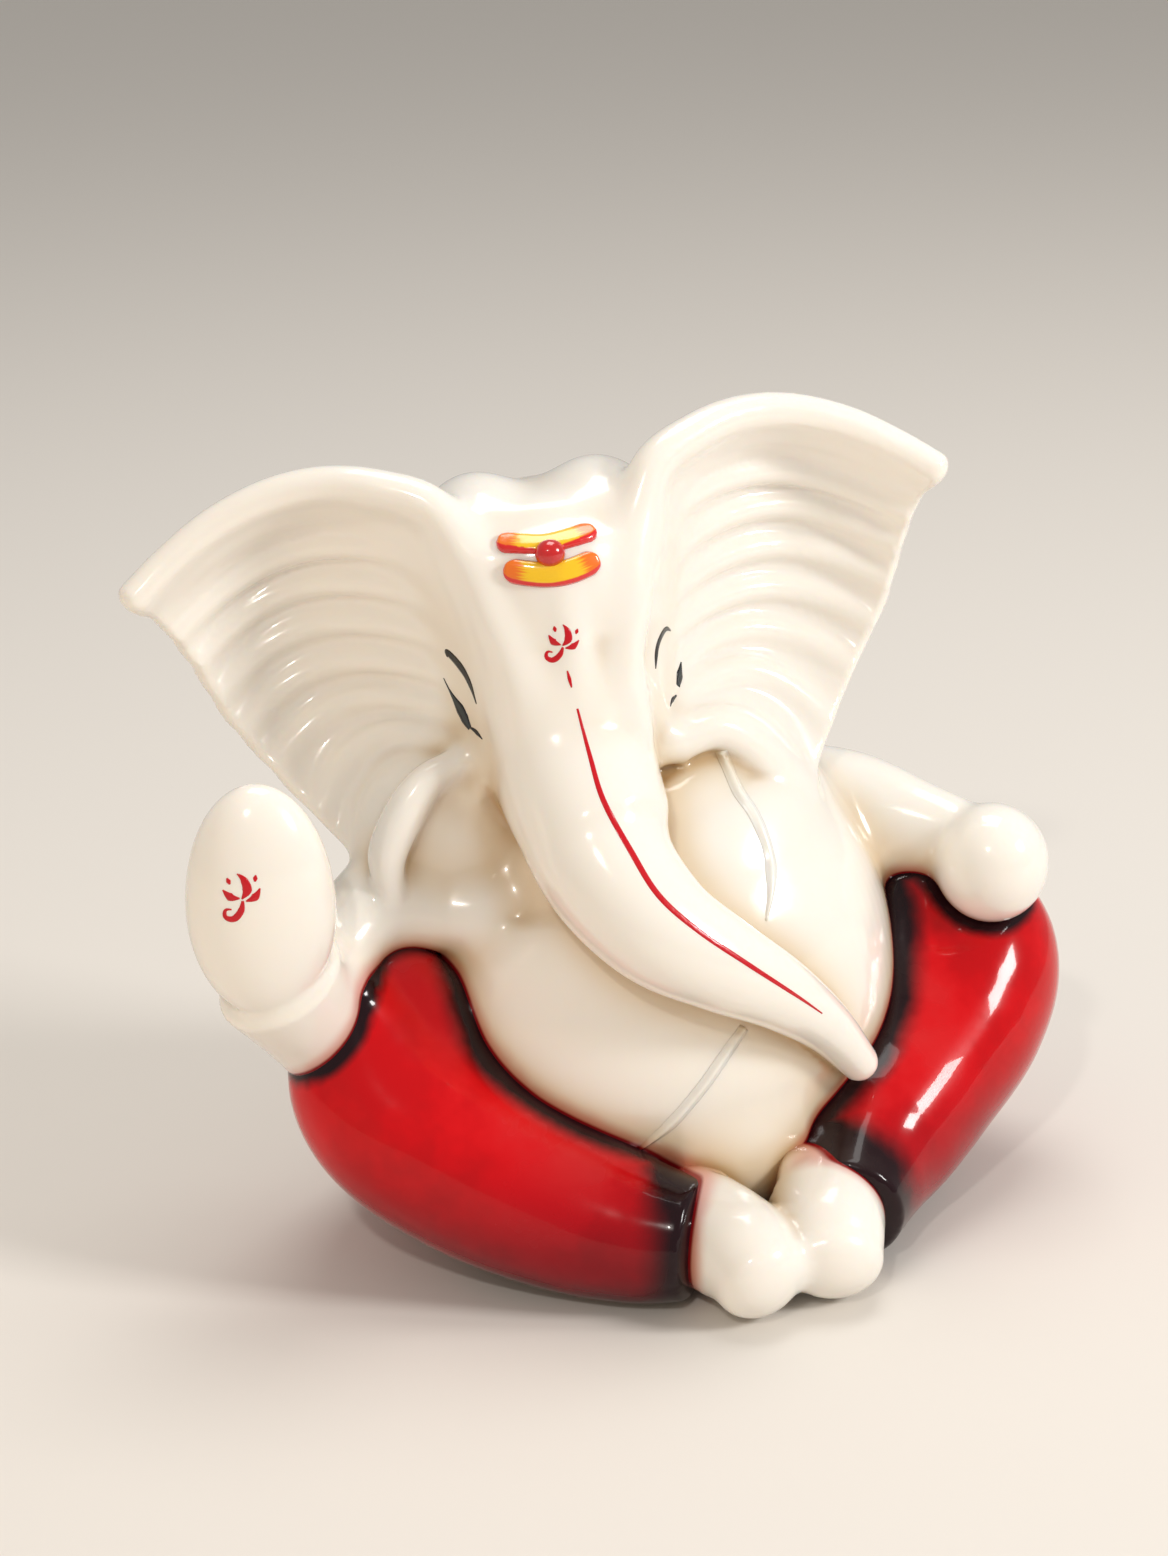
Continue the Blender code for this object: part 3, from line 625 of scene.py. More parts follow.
# %% Feet
RIGHT_FOOT = [(-7, -56, 17.5, 13, 13.5), (-11, -61, 18, 14.5, 15), (-5, -75, 16, 14, 15),
              (-3, -84, 13, 12.5, 12.5)]
LEFT_FOOT = [(18, -57, 17.5, 13.5, 14), (24, -61, 18, 15.5, 15), (20, -74, 15.5, 15, 15),
             (18, -82, 12.5, 13.5, 12)]
FEET_FILLET = 5.0
FOOT_ROUNDING = 1.5

right_foot, left_foot = (
    field(loft(line, sides=56, rings=40, dome_start=5, dome_end=9)) for line in (RIGHT_FOOT, LEFT_FOOT)
)
feet_field = blend(right_foot, left_foot, FEET_FILLET)
feet_field = carve(feet_field, height_field(FOOT_LEVEL), FOOT_ROUNDING)
feet_points, feet_quads = skin(feet_field)
feet_points = relaxed(feet_points, feet_quads, 6)
feet = make_piece("feet", feet_points, feet_quads)
print("feet:", len(feet_points), "points")

# %% [markdown]
# ## Where colours meet
#
# Airbrushed borders depend on how near the other colour is, so each skin stores its distances to the red,
# the ivory, the feet and the belly, and how deep each point sits in a hollow. That depth comes from a
# blurred copy of the whole solid; the ivory glaze uses it for painted shade, darker and warmer in hollows.

# %% Distances stored on the skins
def blurred(values, reach):
    """A box blur of a field along all three axes."""
    width = 2 * reach + 1
    for axis in range(3):
        before, after = values.take([0] * (reach + 1), axis), values.take([-1] * reach, axis)
        total = np.cumsum(np.concatenate([before, values, after], axis), axis)
        size = values.shape[axis]
        values = (total.take(range(width, width + size), axis) - total.take(range(size), axis)) / width
    return values


REACHES = {"cavity": 4, "deep_cavity": 9}
NEIGHBOURS = {
    "near_red": wrap_field,
    "near_ivory": ivory_field,
    "near_feet": feet_field,
    "near_belly": torso,
}

whole = np.minimum(np.minimum(ivory_field, wrap_field), feet_field)
solid = np.clip(0.5 - whole / VOXEL, 0, 1).astype(np.float64)
# hollow depths, which the ivory glaze turns into painted shade
hollows = {}
for name, reach in REACHES.items():
    cells = round(reach / VOXEL)
    hollows[name] = blurred(blurred(solid, cells), cells)


def store_distances(piece):
    """Paints all distances that the glazes read."""
    points = np.array([v.co for v in piece.data.vertices]) / MM
    for name, values in NEIGHBOURS.items():
        paint(piece, name, sample(values, points))
    for name, values in hollows.items():
        paint(piece, name, sample(values, points) * 2 - 1)


for piece in (ivory, wrap, feet):
    store_distances(piece)
print("hollows measured with reaches of", REACHES, "mm")

# %% [markdown]
# ## Brush strokes as thin skins
#
# Painted lines stand a little proud of a glaze, because they are fired or lacquered on top. Each stroke
# here is a closed sliver of mesh: its middle line is laid on the skin along a viewer's lines of sight,
# its width is spread sideways over the skin, and its underside sinks just below. Raised details, such as
# the brow mark and the thread, use the same maker with more height.

# %% Stroke maker
THICKEST_PAINT = 0.5
THIN_PART = 0.6
CLEAR_OF_SKIN = 0.02
TIP = 0.1
ivory_tree = BVHTree.FromPolygons(ivory_points.tolist(), ivory_quads.tolist())


def seen_on_skin(point):
    """Where the line of sight through a point meets the ivory skin, and the normal there."""
    towards = Vector(np.asarray(point, float) - EYE).normalized()
    place, normal, _, _ = ivory_tree.ray_cast(Vector(EYE), towards)
    return np.array(place), np.array(normal)


def nearest_on_skin(point):
    place, normal, _, _ = ivory_tree.find_nearest(Vector(point))
    return np.array(place), np.array(normal)


def round_profile(u):
    """A full, pillow-like section with steep sides."""
    return (1 - np.abs(u) ** 3.5) ** 0.5


def soft_profile(u):
    """A section that runs out flat into the skin."""
    return 0.5 + 0.5 * np.cos(math.pi * u)


def evenly_spaced(line, step):
    """Points at even steps along a smooth line, and each one's distance from its start."""
    guesses = smooth_through(line, 12 * len(line))
    length = np.concatenate([[0], np.cumsum(np.linalg.norm(np.diff(guesses, axis=0), axis=1))])
    even = np.linspace(0, length[-1], max(int(length[-1] / step), 8))
    return np.stack([np.interp(even, length, guesses[:, k]) for k in range(3)], 1), even


def laid_on_skin(guesses):
    """A stroke's middle line on the skin, with the directions along and across it."""
    middles, normals = (np.array(v) for v in zip(*[seen_on_skin(g) for g in guesses]))
    for _ in range(2):
        for values in (middles, normals):
            values[1:-1] = (values[:-2] + 2 * values[1:-1] + values[2:]) / 4
    tangents = unit(np.gradient(middles, axis=0))
    return middles, tangents, unit(np.cross(tangents, unit(normals)))


def half_widths(widths, even, swell_ends):
    """Half the stroke's width at each step, with round ends where they are wanted."""
    half = np.interp(np.linspace(0, 1, len(even)), np.linspace(0, 1, len(widths)), widths)
    if not swell_ends:
        return half
    from_end = np.minimum(even, even[-1] - even)
    return half * np.sqrt(np.clip(1 - (1 - np.clip(from_end / np.max(half), 0, 1)) ** 2, 0.004, 1))


def stroke(name, line, widths, proud, profile=round_profile, across=7, step=0.5, sunk=0.6, swell_ends=False):
    """A closed stroke along a line of guesses, with half widths along it. Returns its Blender object."""
    guesses, even = evenly_spaced(line, step)
    middles, tangents, sideways = laid_on_skin(guesses)
    half = half_widths(widths, even, swell_ends)
    count = len(even)
    u = np.linspace(-1, 1, across)
    rows = []
    for k in range(count):
        lift = min(1.0, half[k] / (np.max(half) * THIN_PART)) if proud > THICKEST_PAINT else 1.0
        spread = [nearest_on_skin(middles[k] + sideways[k] * half[k] * value) for value in u]
        heights = proud * profile(u) * lift + CLEAR_OF_SKIN
        top = [place + normal * height for (place, normal), height in zip(spread, heights)]
        under = [place - normal * sunk for place, normal in spread]
        rows.append(top + under[-2:0:-1])
    rows = np.array(rows)
    poles = [rows[0].mean(0) - tangents[0] * TIP, rows[-1].mean(0) + tangents[-1] * TIP]
    piece = make_piece(name, *closed_tube(rows, poles))
    ring = np.concatenate([u, u[-2:0:-1]])
    crown = np.repeat([1.0, 0.0], [across, across - 2])
    paint(piece, "along", np.concatenate([np.repeat(np.linspace(0, 1, count), len(ring)), [0, 1]]))
    paint(piece, "across", np.concatenate([np.tile(ring, count), [0, 0]]))
    paint(piece, "crown", np.concatenate([np.tile(crown, count), [0, 0]]))
    return piece


print("stroke maker ready on", len(ivory_quads), "faces")

# %% [markdown]
# ## The face
#
# Brows and eyes are quick, tapering touches of a fine brush. The eyes are narrow almonds with a small
# tail, looking calm and half closed, and a long red line runs down the trunk.

# %% Painted face
PAINT_PROUD = 0.1
BROWS = {
    "right_brow": ([(-55.5, -5.5, 162.5), (-56.5, -10.5, 165), (-54, -13, 161.5), (-52.3, -14, 157.5),
                    (-51, -15, 152)], [0.35, 1.2, 1.5, 1.2, 0.25]),
    "left_brow": ([(-0.5, -22, 167), (-2, -23, 168), (-4, -24, 166), (-5, -24, 163), (-5.5, -24, 158)],
                  [0.25, 0.95, 1.1, 0.9, 0.2]),
}
EYES = {
    "right_eye": ([(-56, -3, 156), (-55, -4.5, 153), (-54, -6, 150.5), (-53, -8, 148), (-52.5, -10, 146),
                   (-52, -11.5, 144.5)], [0.15, 0.35, 1.0, 1.9, 1.8, 0.8]),
    "right_eye_tail": ([(-52, -11.5, 144.7), (-51, -13, 144), (-50, -15.5, 142.5)], [0.3, 0.7, 0.15]),
    "left_eye": ([(6, -11.5, 154.5), (5, -13, 152), (3.5, -15.5, 149.5)], [0.2, 1.5, 0.8]),
    "left_eye_tail": ([(2.5, -17, 147.5), (0.5, -19, 147), (-0.5, -20.5, 146)], [0.25, 0.65, 0.15]),
}
TRUNK_LINES = {
    "trunk_dash": ([(-31, -29.5, 162.5), (-30.5, -31, 158.5)], [0.2, 0.5, 0.2]),
    "trunk_line": ([(-29.5, -32, 153), (-29, -39.5, 142.5), (-29, -49, 134), (-25.5, -58.5, 123.5),
                    (-21, -66, 113.5), (-12.5, -71, 104.5), (0, -73, 94), (14, -71, 82), (21.5, -68, 75)],
                   [0.3, 0.6, 0.75, 0.85, 0.8, 0.7, 0.65, 0.5, 0.2]),
}
brows, eyes, trunk_lines = (
    [stroke(name, line, widths, PAINT_PROUD) for name, (line, widths) in group.items()]
    for group in (BROWS, EYES, TRUNK_LINES)
)
print("brows, eyes and trunk lines painted")

# %% [markdown]
# ## Brush ornaments
#
# A small red flourish sits on the forehead and another on the raised palm. Both are made up for this
# lesson: a bud with two leaves on a curling stem. Their strokes are drawn on a flat card, held in front
# of the figure, and then laid on the skin like the face.

# %% Ornaments
FLOURISH = {
    "stem": ([(0.2, 0.2), (-0.5, -1.6), (-2.2, -2.9), (-3.8, -2.2), (-3.5, -0.8), (-2.3, -1.0)],
             [0.2, 0.5, 0.55, 0.45, 0.3, 0.12]),
    "bud": ([(0.1, 0.6), (1.5, 2.1), (1.2, 4.3), (0.2, 5.6)], [0.12, 0.75, 0.6, 0.1]),
    "left_leaf": ([(-0.3, 0.8), (-2.0, 1.4), (-3.2, 3.1)], [0.12, 0.7, 0.12]),
    "right_leaf": ([(0.8, 0.0), (2.7, 0.4), (4.0, 1.9)], [0.12, 0.65, 0.12]),
    "left_drop": ([(-1.6, 3.9), (-1.9, 5.2)], [0.15, 0.42, 0.12]),
    "right_drop": ([(3.3, 3.4), (3.7, 4.6)], [0.15, 0.38, 0.12]),
}
FLOURISH_PLACES = {
    "forehead": ((-32.0, -29.0, 168.5), 1.05, 0.0),
    "palm": ((-121.0, -43.5, 119.5), 1.25, 12.0),
}
BOLDNESS = 1.3
ornaments = []
for place, (centre, size, turn) in FLOURISH_PLACES.items():
    cos, sin = math.cos(math.radians(turn)), math.sin(math.radians(turn))
    for part, (line, widths) in FLOURISH.items():
        card = [np.array(centre) + size * ((x * cos - y * sin) * RIGHT + (x * sin + y * cos) * UP)
                for x, y in line]
        bold = [w * size * BOLDNESS for w in widths]
        ornaments.append(stroke(f"{place}_{part}", card, bold, PAINT_PROUD, step=0.35))
print("ornament strokes:", len(ornaments))

# %% [markdown]
# ## Raised brow mark and thread
#
# The brow mark is two slightly sagging pads of slip with a round bead between them. The thread is a low
# ridge over the chest and the belly, pressed up from behind in the mould, so it has soft edges and no
# colour of its own.

# %% Brow mark and thread
PAD_HEIGHT = 1.5
PADS = {
    "upper_pad": ([(-44.5, -17, 194.5), (-38, -20, 194), (-33, -22, 194), (-27, -22.5, 194.8),
                   (-20, -22, 196)], [3.2, 3.2, 3.3]),
    "lower_pad": ([(-44.3, -21.5, 188.6), (-39, -24.5, 187.7), (-33.5, -26.5, 187.3), (-28, -27.5, 187.9),
                   (-20.7, -26.5, 189.8)], [3.2, 3.3, 3.2]),
}
BEAD_SIZE = (3.9, 3.5, 3.5)
BEAD_PROUD = 0.6
THREAD_HEIGHT = 0.9
THREADS = {
    "chest_thread": ([(14, -18.5, 131), (15, -27.5, 123), (17.5, -33, 117.5), (19, -38.5, 109.5),
                      (18, -43, 102), (14, -49, 94.5)], [1.7, 1.9, 1.8, 1.7, 0.4]),
    "belly_thread": ([(4, -58, 70), (-1.5, -58, 63), (-8, -57.5, 54.5), (-16, -55, 44.5),
                      (-23, -51.5, 37.5)], [1.4, 1.8, 1.8, 1.8, 0.8]),
}
pads = [stroke(name, line, widths, PAD_HEIGHT, across=15, step=0.4, swell_ends=True)
        for name, (line, widths) in PADS.items()]
bead_place, bead_normal = seen_on_skin((-33.0, -25.0, 192.2))
bead = make_piece("brow_bead", *ball(bead_place + bead_normal * BEAD_PROUD, BEAD_SIZE, sides=48, rings=32))
threads = [stroke(name, line, widths, THREAD_HEIGHT, soft_profile, across=13, step=0.8, sunk=0.4)
           for name, (line, widths) in THREADS.items()]
for thread in threads:
    store_distances(thread)
print("pads, bead and threads laid on")

# %% [markdown]
# ## Helpers for node materials
#
# Materials here are built in code, so a few tiny helpers keep that readable: one adds a node, one adds a
# maths node, and one turns a stored attribute into a soft mask between two distances.

# %% Node helpers
def set_inputs(node, **values):
    """Sets inputs by name, with _ for each space."""
    for name, value in values.items():
        node.inputs[name.replace("_", " ")].default_value = value
    return node


def add(tree, kind, **values):
    return set_inputs(tree.nodes.new(kind), **values)


def maths(tree, operation, first, second=None):
    node = tree.nodes.new("ShaderNodeMath")
    node.operation = operation
    for socket, value in zip(node.inputs, (first, second)):
        if isinstance(value, (int, float)):
            socket.default_value = value
        elif value is not None:
            tree.links.new(value, socket)
    return node.outputs[0]


def share(tree, value, factor):
    return maths(tree, "MULTIPLY", value, factor)


def swing(tree, value, span):
    """Turns a value from 0 to 1 into a swing of this span round zero."""
    return share(tree, maths(tree, "SUBTRACT", value, 0.5), span)


def attribute(tree, name):
    node = tree.nodes.new("ShaderNodeAttribute")
    node.attribute_name = name
    return node.outputs["Fac"]


def mask(tree, value, full, none):
    """1 where the value is at `full`, 0 where it is at `none`, with soft ends."""
    node = tree.nodes.new("ShaderNodeMapRange")
    node.interpolation_type = "SMOOTHSTEP"
    tree.links.new(value, node.inputs["Value"])
    set_inputs(node, From_Min=min(full, none), From_Max=max(full, none))
    set_inputs(node, To_Min=float(full < none), To_Max=float(full > none))
    return node.outputs["Result"]


def mixed(tree, factor, first, second):
    """A colour mix; a colour may be a socket or four numbers."""
    node = tree.nodes.new("ShaderNodeMix")
    node.data_type = "RGBA"
    tree.links.new(factor, node.inputs["Factor"])
    for socket, value in zip((node.inputs[6], node.inputs[7]), (first, second)):
        if isinstance(value, tuple):
            socket.default_value = value
        else:
            tree.links.new(value, socket)
    return node.outputs[2]


def layered(tree, tone, *layers):
    """Lays colours over a tone, one after the other, each through its own mask."""
    for cover, colour in layers:
        tone = mixed(tree, cover, tone, colour)
    return tone


def new_group(name, inputs, outputs):
    """An empty node group with number inputs and outputs of a stated kind."""
    group = bpy.data.node_groups.new(name, "ShaderNodeTree")
    for label, value in inputs.items():
        socket = group.interface.new_socket(label, in_out="INPUT", socket_type="NodeSocketFloat")
        socket.default_value = value
    for label, kind in outputs.items():
        group.interface.new_socket(label, in_out="OUTPUT", socket_type=kind)
    return group, group.nodes.new("NodeGroupInput"), group.nodes.new("NodeGroupOutput")


def place_group(tree, group, **values):
    node = tree.nodes.new("ShaderNodeGroup")
    node.node_tree = group
    return set_inputs(node, **values)


print("node helpers ready")

# %% [markdown]
# ## Shared effects
#
# Two effects are shared. `fired_surface` gives the slow waves and the faint orange peel of a sprayed and
# polished coat, a mottling mask, and dust that settles on surfaces that face up. `brush_load` tells how
# thick the paint is across a stroke: full in the middle, thin and streaky at its sides.

# %% Node groups
fired, fired_in, fired_out = new_group(
    "fired_surface",
    {"Wave Scale": 55.0, "Peel Scale": 520.0, "Peel Share": 0.12},
    {"Height": "NodeSocketFloat", "Mottle": "NodeSocketFloat", "Dust": "NodeSocketFloat"},
)
coordinates = add(fired, "ShaderNodeTexCoord")
waves = add(fired, "ShaderNodeTexNoise", Detail=2.0)
peel = add(fired, "ShaderNodeTexNoise", Detail=1.0)
mottle = add(fired, "ShaderNodeTexNoise", Scale=28.0, Detail=4.0, Roughness=0.6)
for noise, socket in ((waves, "Wave Scale"), (peel, "Peel Scale")):
    fired.links.new(fired_in.outputs[socket], noise.inputs["Scale"])
for noise in (waves, peel, mottle):
    fired.links.new(coordinates.outputs["Object"], noise.inputs["Vector"])
peel_part = share(fired, peel.outputs["Fac"], fired_in.outputs["Peel Share"])
fired.links.new(maths(fired, "ADD", waves.outputs["Fac"], peel_part), fired_out.inputs["Height"])
fired.links.new(mask(fired, mottle.outputs["Fac"], 0.66, 0.40), fired_out.inputs["Mottle"])
facing = add(fired, "ShaderNodeSeparateXYZ")
fired.links.new(add(fired, "ShaderNodeNewGeometry").outputs["Normal"], facing.inputs[0])
up_facing = mask(fired, facing.outputs["Z"], 0.95, 0.35)
patches = mask(fired, mottle.outputs["Fac"], 0.75, 0.45)
fired.links.new(share(fired, up_facing, patches), fired_out.inputs["Dust"])

brush, brush_in, brush_out = new_group(
    "brush_load",
    {"Streaks": 9.0, "Edge": 0.75},
    {"Load": "NodeSocketFloat", "Streak": "NodeSocketFloat"},
)
sideways = attribute(brush, "across")
strip = add(brush, "ShaderNodeCombineXYZ")
brush.links.new(share(brush, attribute(brush, "along"), 1.2), strip.inputs[0])
brush.links.new(share(brush, sideways, brush_in.outputs["Streaks"]), strip.inputs[1])
streak = add(brush, "ShaderNodeTexNoise", Scale=1.0, Detail=3.0)
brush.links.new(strip.outputs[0], streak.inputs["Vector"])
from_middle = maths(brush, "ABSOLUTE", sideways)
uneven = maths(brush, "ADD", from_middle, swing(brush, streak.outputs["Fac"], 0.5))
thin = add(brush, "ShaderNodeMapRange", From_Max=1.05, To_Min=1.0, To_Max=0.0)
brush.links.new(uneven, thin.inputs["Value"])
brush.links.new(brush_in.outputs["Edge"], thin.inputs["From Min"])
brush.links.new(thin.outputs["Result"], brush_out.inputs["Load"])
brush.links.new(streak.outputs["Fac"], brush_out.inputs["Streak"])
print("groups:", fired.name, "and", brush.name)

# %% [markdown]
# ## Ivory glaze
#
# The white is a warm, slightly translucent glaze over pale clay. It looks milky where light goes in and
# comes out again, and it catches a pink haze of overspray and a dark red brushed line wherever it meets
# the red cloth. In the hollows of the ears and round the neck it is painted darker and beige, as painted
# shade.

# %% Ivory material
IVORY = (0.85, 0.81, 0.745, 1)
# the next two colours are painted shade for the hollows of the ivory
IVORY_PAINTED_SHADE = (0.73, 0.61, 0.45, 1)
HOLLOW_PAINTED_SHADE = (0.50, 0.33, 0.16, 1)
OVERSPRAY_PINK = (0.62, 0.10, 0.08, 1)
BORDER_RED = (0.26, 0.004, 0.006, 1)
DUST_GREY = (0.62, 0.57, 0.50, 1)


def start_material(name):
    material = bpy.data.materials.new(name)
    material.use_nodes = True
    tree = material.node_tree
    return material, tree, tree.nodes["Principled BSDF"]


def finish_surface(tree, shader, surface, tone, bump, roughness, worn):
    """Feeds the colour, and the shared surface effect into roughness and the normal."""
    tree.links.new(tone, shader.inputs["Base Color"])
    span = add(tree, "ShaderNodeMapRange", To_Min=roughness, To_Max=worn)
    tree.links.new(surface.outputs["Mottle"], span.inputs["Value"])
    tree.links.new(span.outputs["Result"], shader.inputs["Roughness"])
    relief = add(tree, "ShaderNodeBump", Strength=bump, Distance=0.001)
    tree.links.new(surface.outputs["Height"], relief.inputs["Height"])
    tree.links.new(relief.outputs["Normal"], shader.inputs["Normal"])


ivory_glaze, tree, shader = start_material("ivory_glaze")
surface = place_group(tree, fired, Wave_Scale=42.0, Peel_Scale=420.0, Peel_Share=0.06)
near_red = attribute(tree, "near_red")
hazy_red = maths(tree, "ADD", near_red, swing(tree, surface.outputs["Mottle"], 1.6))
tone = layered(
    tree,
    IVORY,
    # painted shade: warm beige in wide hollows, darker beige in tight ones
    (mask(tree, attribute(tree, "deep_cavity"), 0.30, -0.12), IVORY_PAINTED_SHADE),
    (mask(tree, attribute(tree, "cavity"), 0.50, 0.04), HOLLOW_PAINTED_SHADE),
    (share(tree, surface.outputs["Dust"], 0.10), DUST_GREY),
    (share(tree, mask(tree, hazy_red, 0.4, 5.5), 0.55), OVERSPRAY_PINK),
    (mask(tree, near_red, 0.5, 1.5), BORDER_RED),
)
finish_surface(tree, shader, surface, tone, bump=0.10, roughness=0.13, worn=0.24)
set_inputs(shader, Subsurface_Weight=0.22, Subsurface_Radius=(1.0, 0.62, 0.34), Subsurface_Scale=0.004)
set_inputs(shader, Coat_Weight=0.55, Coat_Roughness=0.05)
print("ivory glaze ready")

# %% [markdown]
# ## Red lacquer
#
# The cloth is a saturated red under a clear coat. Before the coat went on, black was airbrushed along the
# crease of the belly, round both cuffs and under the resting hand, and it fades out over a few
# millimetres. Towards the floor the red is painted darker still, as painted shade.

# %% Red material
CLOTH_RED = (0.66, 0.0, 0.003, 1)
# the next colour serves both the random mottle and the painted shade towards the floor; the one after is
# painted shade at the floor
CLOTH_MOTTLE_AND_PAINTED_SHADE = (0.24, 0.0, 0.006, 1)
CLOTH_PAINTED_FLOOR_SHADE = (0.05, 0.0, 0.003, 1)
AIRBRUSH_BLACK = (0.012, 0.002, 0.004, 1)
BLACK_BANDS = {"near_belly": (4.0, 11.5), "near_feet": (5.0, 11.9), "near_ivory": (0.8, 4.5)}

red_lacquer, tree, shader = start_material("red_lacquer")
surface = place_group(tree, fired, Wave_Scale=38.0, Peel_Scale=380.0, Peel_Share=0.08)
place = add(tree, "ShaderNodeSeparateXYZ")
tree.links.new(add(tree, "ShaderNodeTexCoord").outputs["Object"], place.inputs[0])
drift = swing(tree, surface.outputs["Mottle"], 2.4)
black = 0.0
for name, (full, none) in BLACK_BANDS.items():
    distance = maths(tree, "ADD", attribute(tree, name), drift)
    black = maths(tree, "MAXIMUM", black, mask(tree, distance, full, none))
tone = layered(
    tree,
    CLOTH_RED,
    # painted shade: the red darkens towards the floor, nearly to black in the lowest millimetres
    (mask(tree, place.outputs["Z"], 0.008, 0.052), CLOTH_MOTTLE_AND_PAINTED_SHADE),
    (mask(tree, place.outputs["Z"], 0.001, 0.014), CLOTH_PAINTED_FLOOR_SHADE),
    (share(tree, surface.outputs["Mottle"], 0.18), CLOTH_MOTTLE_AND_PAINTED_SHADE),
    (black, AIRBRUSH_BLACK),
    (share(tree, surface.outputs["Dust"], 0.03), DUST_GREY),
)
finish_surface(tree, shader, surface, tone, bump=0.12, roughness=0.16, worn=0.28)
set_inputs(shader, Specular_IOR_Level=0.12, Coat_Weight=0.5, Coat_IOR=1.38, Coat_Roughness=0.04)
print("red lacquer ready")

# %% [markdown]
# ## Brow mark enamels
#
# The pads are yellow with orange drawn in from both ends by a dry brush, and the lower side is outlined
# in red. The bead is plain red enamel, thick enough to shine like a drop.

# %% Brow mark materials
PAD_YELLOW = (0.86, 0.52, 0.004, 1)
PAD_ORANGE = (0.80, 0.16, 0.002, 1)
ENAMEL_RED = (0.66, 0.004, 0.004, 1)
ENAMEL_DARK = (0.40, 0.002, 0.004, 1)

yellow_enamel, tree, shader = start_material("yellow_enamel")
load = place_group(tree, brush, Streaks=7.0, Edge=0.8)
surface = place_group(tree, fired, Wave_Scale=120.0, Peel_Scale=700.0, Peel_Share=0.2)
across = attribute(tree, "across")
from_middle = maths(tree, "ABSOLUTE", maths(tree, "SUBTRACT", attribute(tree, "along"), 0.5))
ragged = maths(tree, "ADD", from_middle, swing(tree, load.outputs["Streak"], 0.34))
lower_side = maths(tree, "ADD", across, share(tree, from_middle, 0.35))
tone = layered(
    tree,
    PAD_YELLOW,
    (mask(tree, ragged, 0.36, 0.25), PAD_ORANGE),
    (mask(tree, lower_side, 0.72, 0.60), ENAMEL_RED),
    (mask(tree, maths(tree, "ABSOLUTE", across), 0.99, 0.93), ENAMEL_RED),
    (mask(tree, attribute(tree, "crown"), 0.4, 0.8), ENAMEL_RED),
    (mask(tree, from_middle, 0.495, 0.475), ENAMEL_RED),
)
finish_surface(tree, shader, surface, tone, bump=0.18, roughness=0.16, worn=0.26)
set_inputs(shader, Coat_Weight=0.8, Coat_Roughness=0.05)

red_enamel, tree, shader = start_material("red_enamel")
surface = place_group(tree, fired, Wave_Scale=140.0, Peel_Scale=800.0, Peel_Share=0.15)
tone = mixed(tree, surface.outputs["Mottle"], ENAMEL_RED, ENAMEL_DARK)
finish_surface(tree, shader, surface, tone, bump=0.14, roughness=0.14, worn=0.22)
set_inputs(shader, Coat_Weight=0.9, Coat_Roughness=0.04)
print("pad and bead enamels ready")

# %% [markdown]
# ## Brush paints
#
# Red and black lines are thin paint. Where the brush was nearly dry the colour is lighter and rougher, so
# both paints read the `brush_load` group. The eyes get a grey middle with a dark outline.

# %% Brush paint materials
LINE_RED = (0.52, 0.004, 0.012, 1)
LINE_ROSE = (0.62, 0.05, 0.06, 1)
LINE_BLACK = (0.010, 0.010, 0.011, 1)
LINE_BROWN = (0.085, 0.055, 0.030, 1)
EYE_GREY = (0.030, 0.040, 0.042, 1)


def brush_paint(name, full, dry, middle=None):
    material, tree, shader = start_material(name)
    load = place_group(tree, brush, Streaks=5.0, Edge=0.72)
    tone = mixed(tree, load.outputs["Load"], dry, full)
    if middle is not None:
        from_middle = maths(tree, "ABSOLUTE", attribute(tree, "across"))
        tone = mixed(tree, mask(tree, from_middle, 0.25, 0.6), tone, middle)
    surface = place_group(tree, fired, Wave_Scale=160.0, Peel_Scale=900.0, Peel_Share=0.3)
    finish_surface(tree, shader, surface, tone, bump=0.2, roughness=0.22, worn=0.38)
    set_inputs(shader, Specular_IOR_Level=0.25, Coat_Weight=0.3, Coat_Roughness=0.08)
    return material


red_paint = brush_paint("red_paint", LINE_RED, LINE_ROSE)
black_paint = brush_paint("black_paint", LINE_BLACK, LINE_BROWN)
eye_paint = brush_paint("eye_paint", LINE_BLACK, LINE_BLACK, EYE_GREY)
print("brush paints ready")

# %% [markdown]
# ## Stopper
#
# Under the foot sits the only separate part, a soft stopper in the vent. It is a dull, slightly dusty
# rubber.

# %% Stopper material
RUBBER = (0.62, 0.58, 0.50, 1)
RUBBER_WORN = (0.44, 0.40, 0.34, 1)

soft_rubber, tree, shader = start_material("soft_rubber")
surface = place_group(tree, fired, Wave_Scale=260.0, Peel_Scale=1400.0, Peel_Share=0.6)
tone = mixed(tree, surface.outputs["Mottle"], RUBBER, RUBBER_WORN)
finish_surface(tree, shader, surface, tone, bump=0.3, roughness=0.55, worn=0.75)
print("rubber ready")

# %% [markdown]
# ## Finishes on, pieces riding
#
# Every piece gets its finish, takes over the castings that it stands for, and rides on the one body of
# the model.

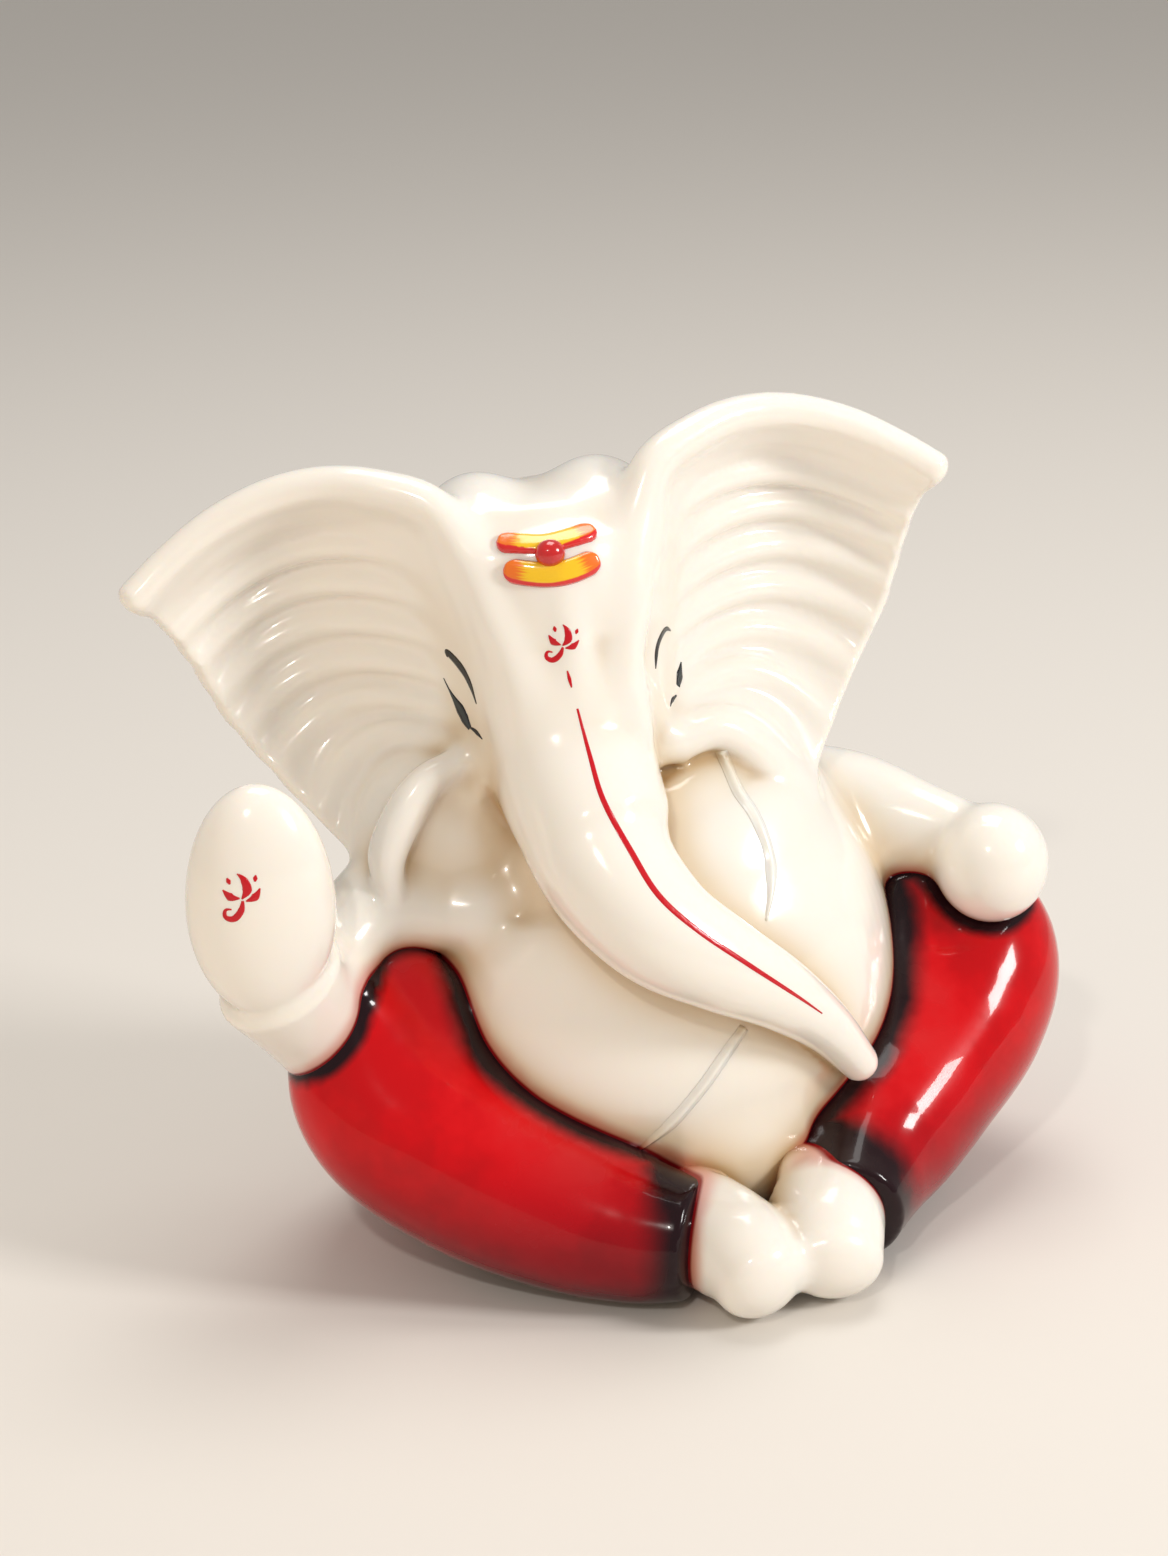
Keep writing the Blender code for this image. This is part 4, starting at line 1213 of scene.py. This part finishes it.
# %% Assign and ride
FINISHES = {
    ivory_glaze: ([ivory, feet, *threads], "ivory_glaze"),
    red_lacquer: ([wrap], "red_lacquer"),
    yellow_enamel: (pads, "yellow_enamel"),
    red_enamel: ([bead], "red_enamel"),
    red_paint: (ornaments + trunk_lines, "red_enamel"),
    black_paint: (brows + [eyes[1], eyes[3]], None),
    eye_paint: ([eyes[0], eyes[2]], None),
}
for material, (pieces, slot) in FINISHES.items():
    for piece in pieces:
        piece.data.materials.append(material)
        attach(piece, "root")
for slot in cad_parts["vent_stopper"].material_slots:
    slot.material = soft_rubber
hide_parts("torso", "head", "right_ear", "left_ear", "right_arm", "left_arm", "raised_right_hand",
            "resting_left_hand")
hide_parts("right_leg", "left_leg", "hip_wrap")
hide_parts("right_foot", "left_foot")
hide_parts("tilak_upper_bar")
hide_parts("tilak_lower_bar")
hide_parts("tilak_dot")
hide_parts("cord_on_chest")
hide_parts("cord_on_belly")
print("pieces riding:", sum(len(pieces) for pieces, _ in FINISHES.values()))

# %% [markdown]
# ## Stage and light
#
# A pale floor, a broad soft world and four lamps: a wide key on the viewer's right, a small accent high
# on the left, which gives crisp glints on the glaze, a broad one from above and a low warm glow, such as
# a table throws back up. The glow is kept out of reflections, where it would show as a square. The plain
# view transform keeps the painted reds as saturated as they are.

# %% Stage and light
FLOOR_SIZE = 8.0
FLOOR_LEVEL = -0.0004
MIDDLE = Vector((-0.01, 0.0, 0.12))
LAMPS = {
    "key": ((1.25, -1.05, 0.95), 0.38, 20.0, (1.0, 0.985, 0.965)),
    "table_glow": ((-1.0, -0.5, 0.12), 0.8, 3.5, (1.0, 0.72, 0.42)),
    "accent": ((-0.75, -1.25, 1.35), 0.09, 6.0, (1.0, 0.96, 0.90)),
    "top": ((0.2, 0.3, 1.6), 0.8, 10.0, (1.0, 0.98, 0.95)),
}

bpy.ops.mesh.primitive_plane_add(size=FLOOR_SIZE, location=(0, 0, FLOOR_LEVEL))
floor = bpy.context.object
floor.name = "floor"
floor_material, tree, shader = start_material("pale_floor")
set_inputs(shader, Base_Color=(0.74, 0.70, 0.65, 1), Roughness=0.8)
floor.data.materials.append(floor_material)


for name, (place, size, power, colour) in LAMPS.items():
    data = bpy.data.lights.new(name, "AREA")
    data.size, data.energy, data.color = size, power, colour
    lamp = bpy.data.objects.new(name, data)
    lamp.location = place
    lamp.rotation_euler = (Vector(place) - MIDDLE).to_track_quat("Z", "Y").to_euler()
    lamp.visible_glossy = name != "table_glow"
    bpy.context.scene.collection.objects.link(lamp)
world = bpy.data.worlds.new("soft_room")
world.use_nodes = True
set_inputs(world.node_tree.nodes["Background"], Color=(0.95, 0.925, 0.89, 1), Strength=0.46)
bpy.context.scene.world = world
bpy.context.scene.view_settings.view_transform = "Standard"
print("stage lit by", len(LAMPS), "lamps")
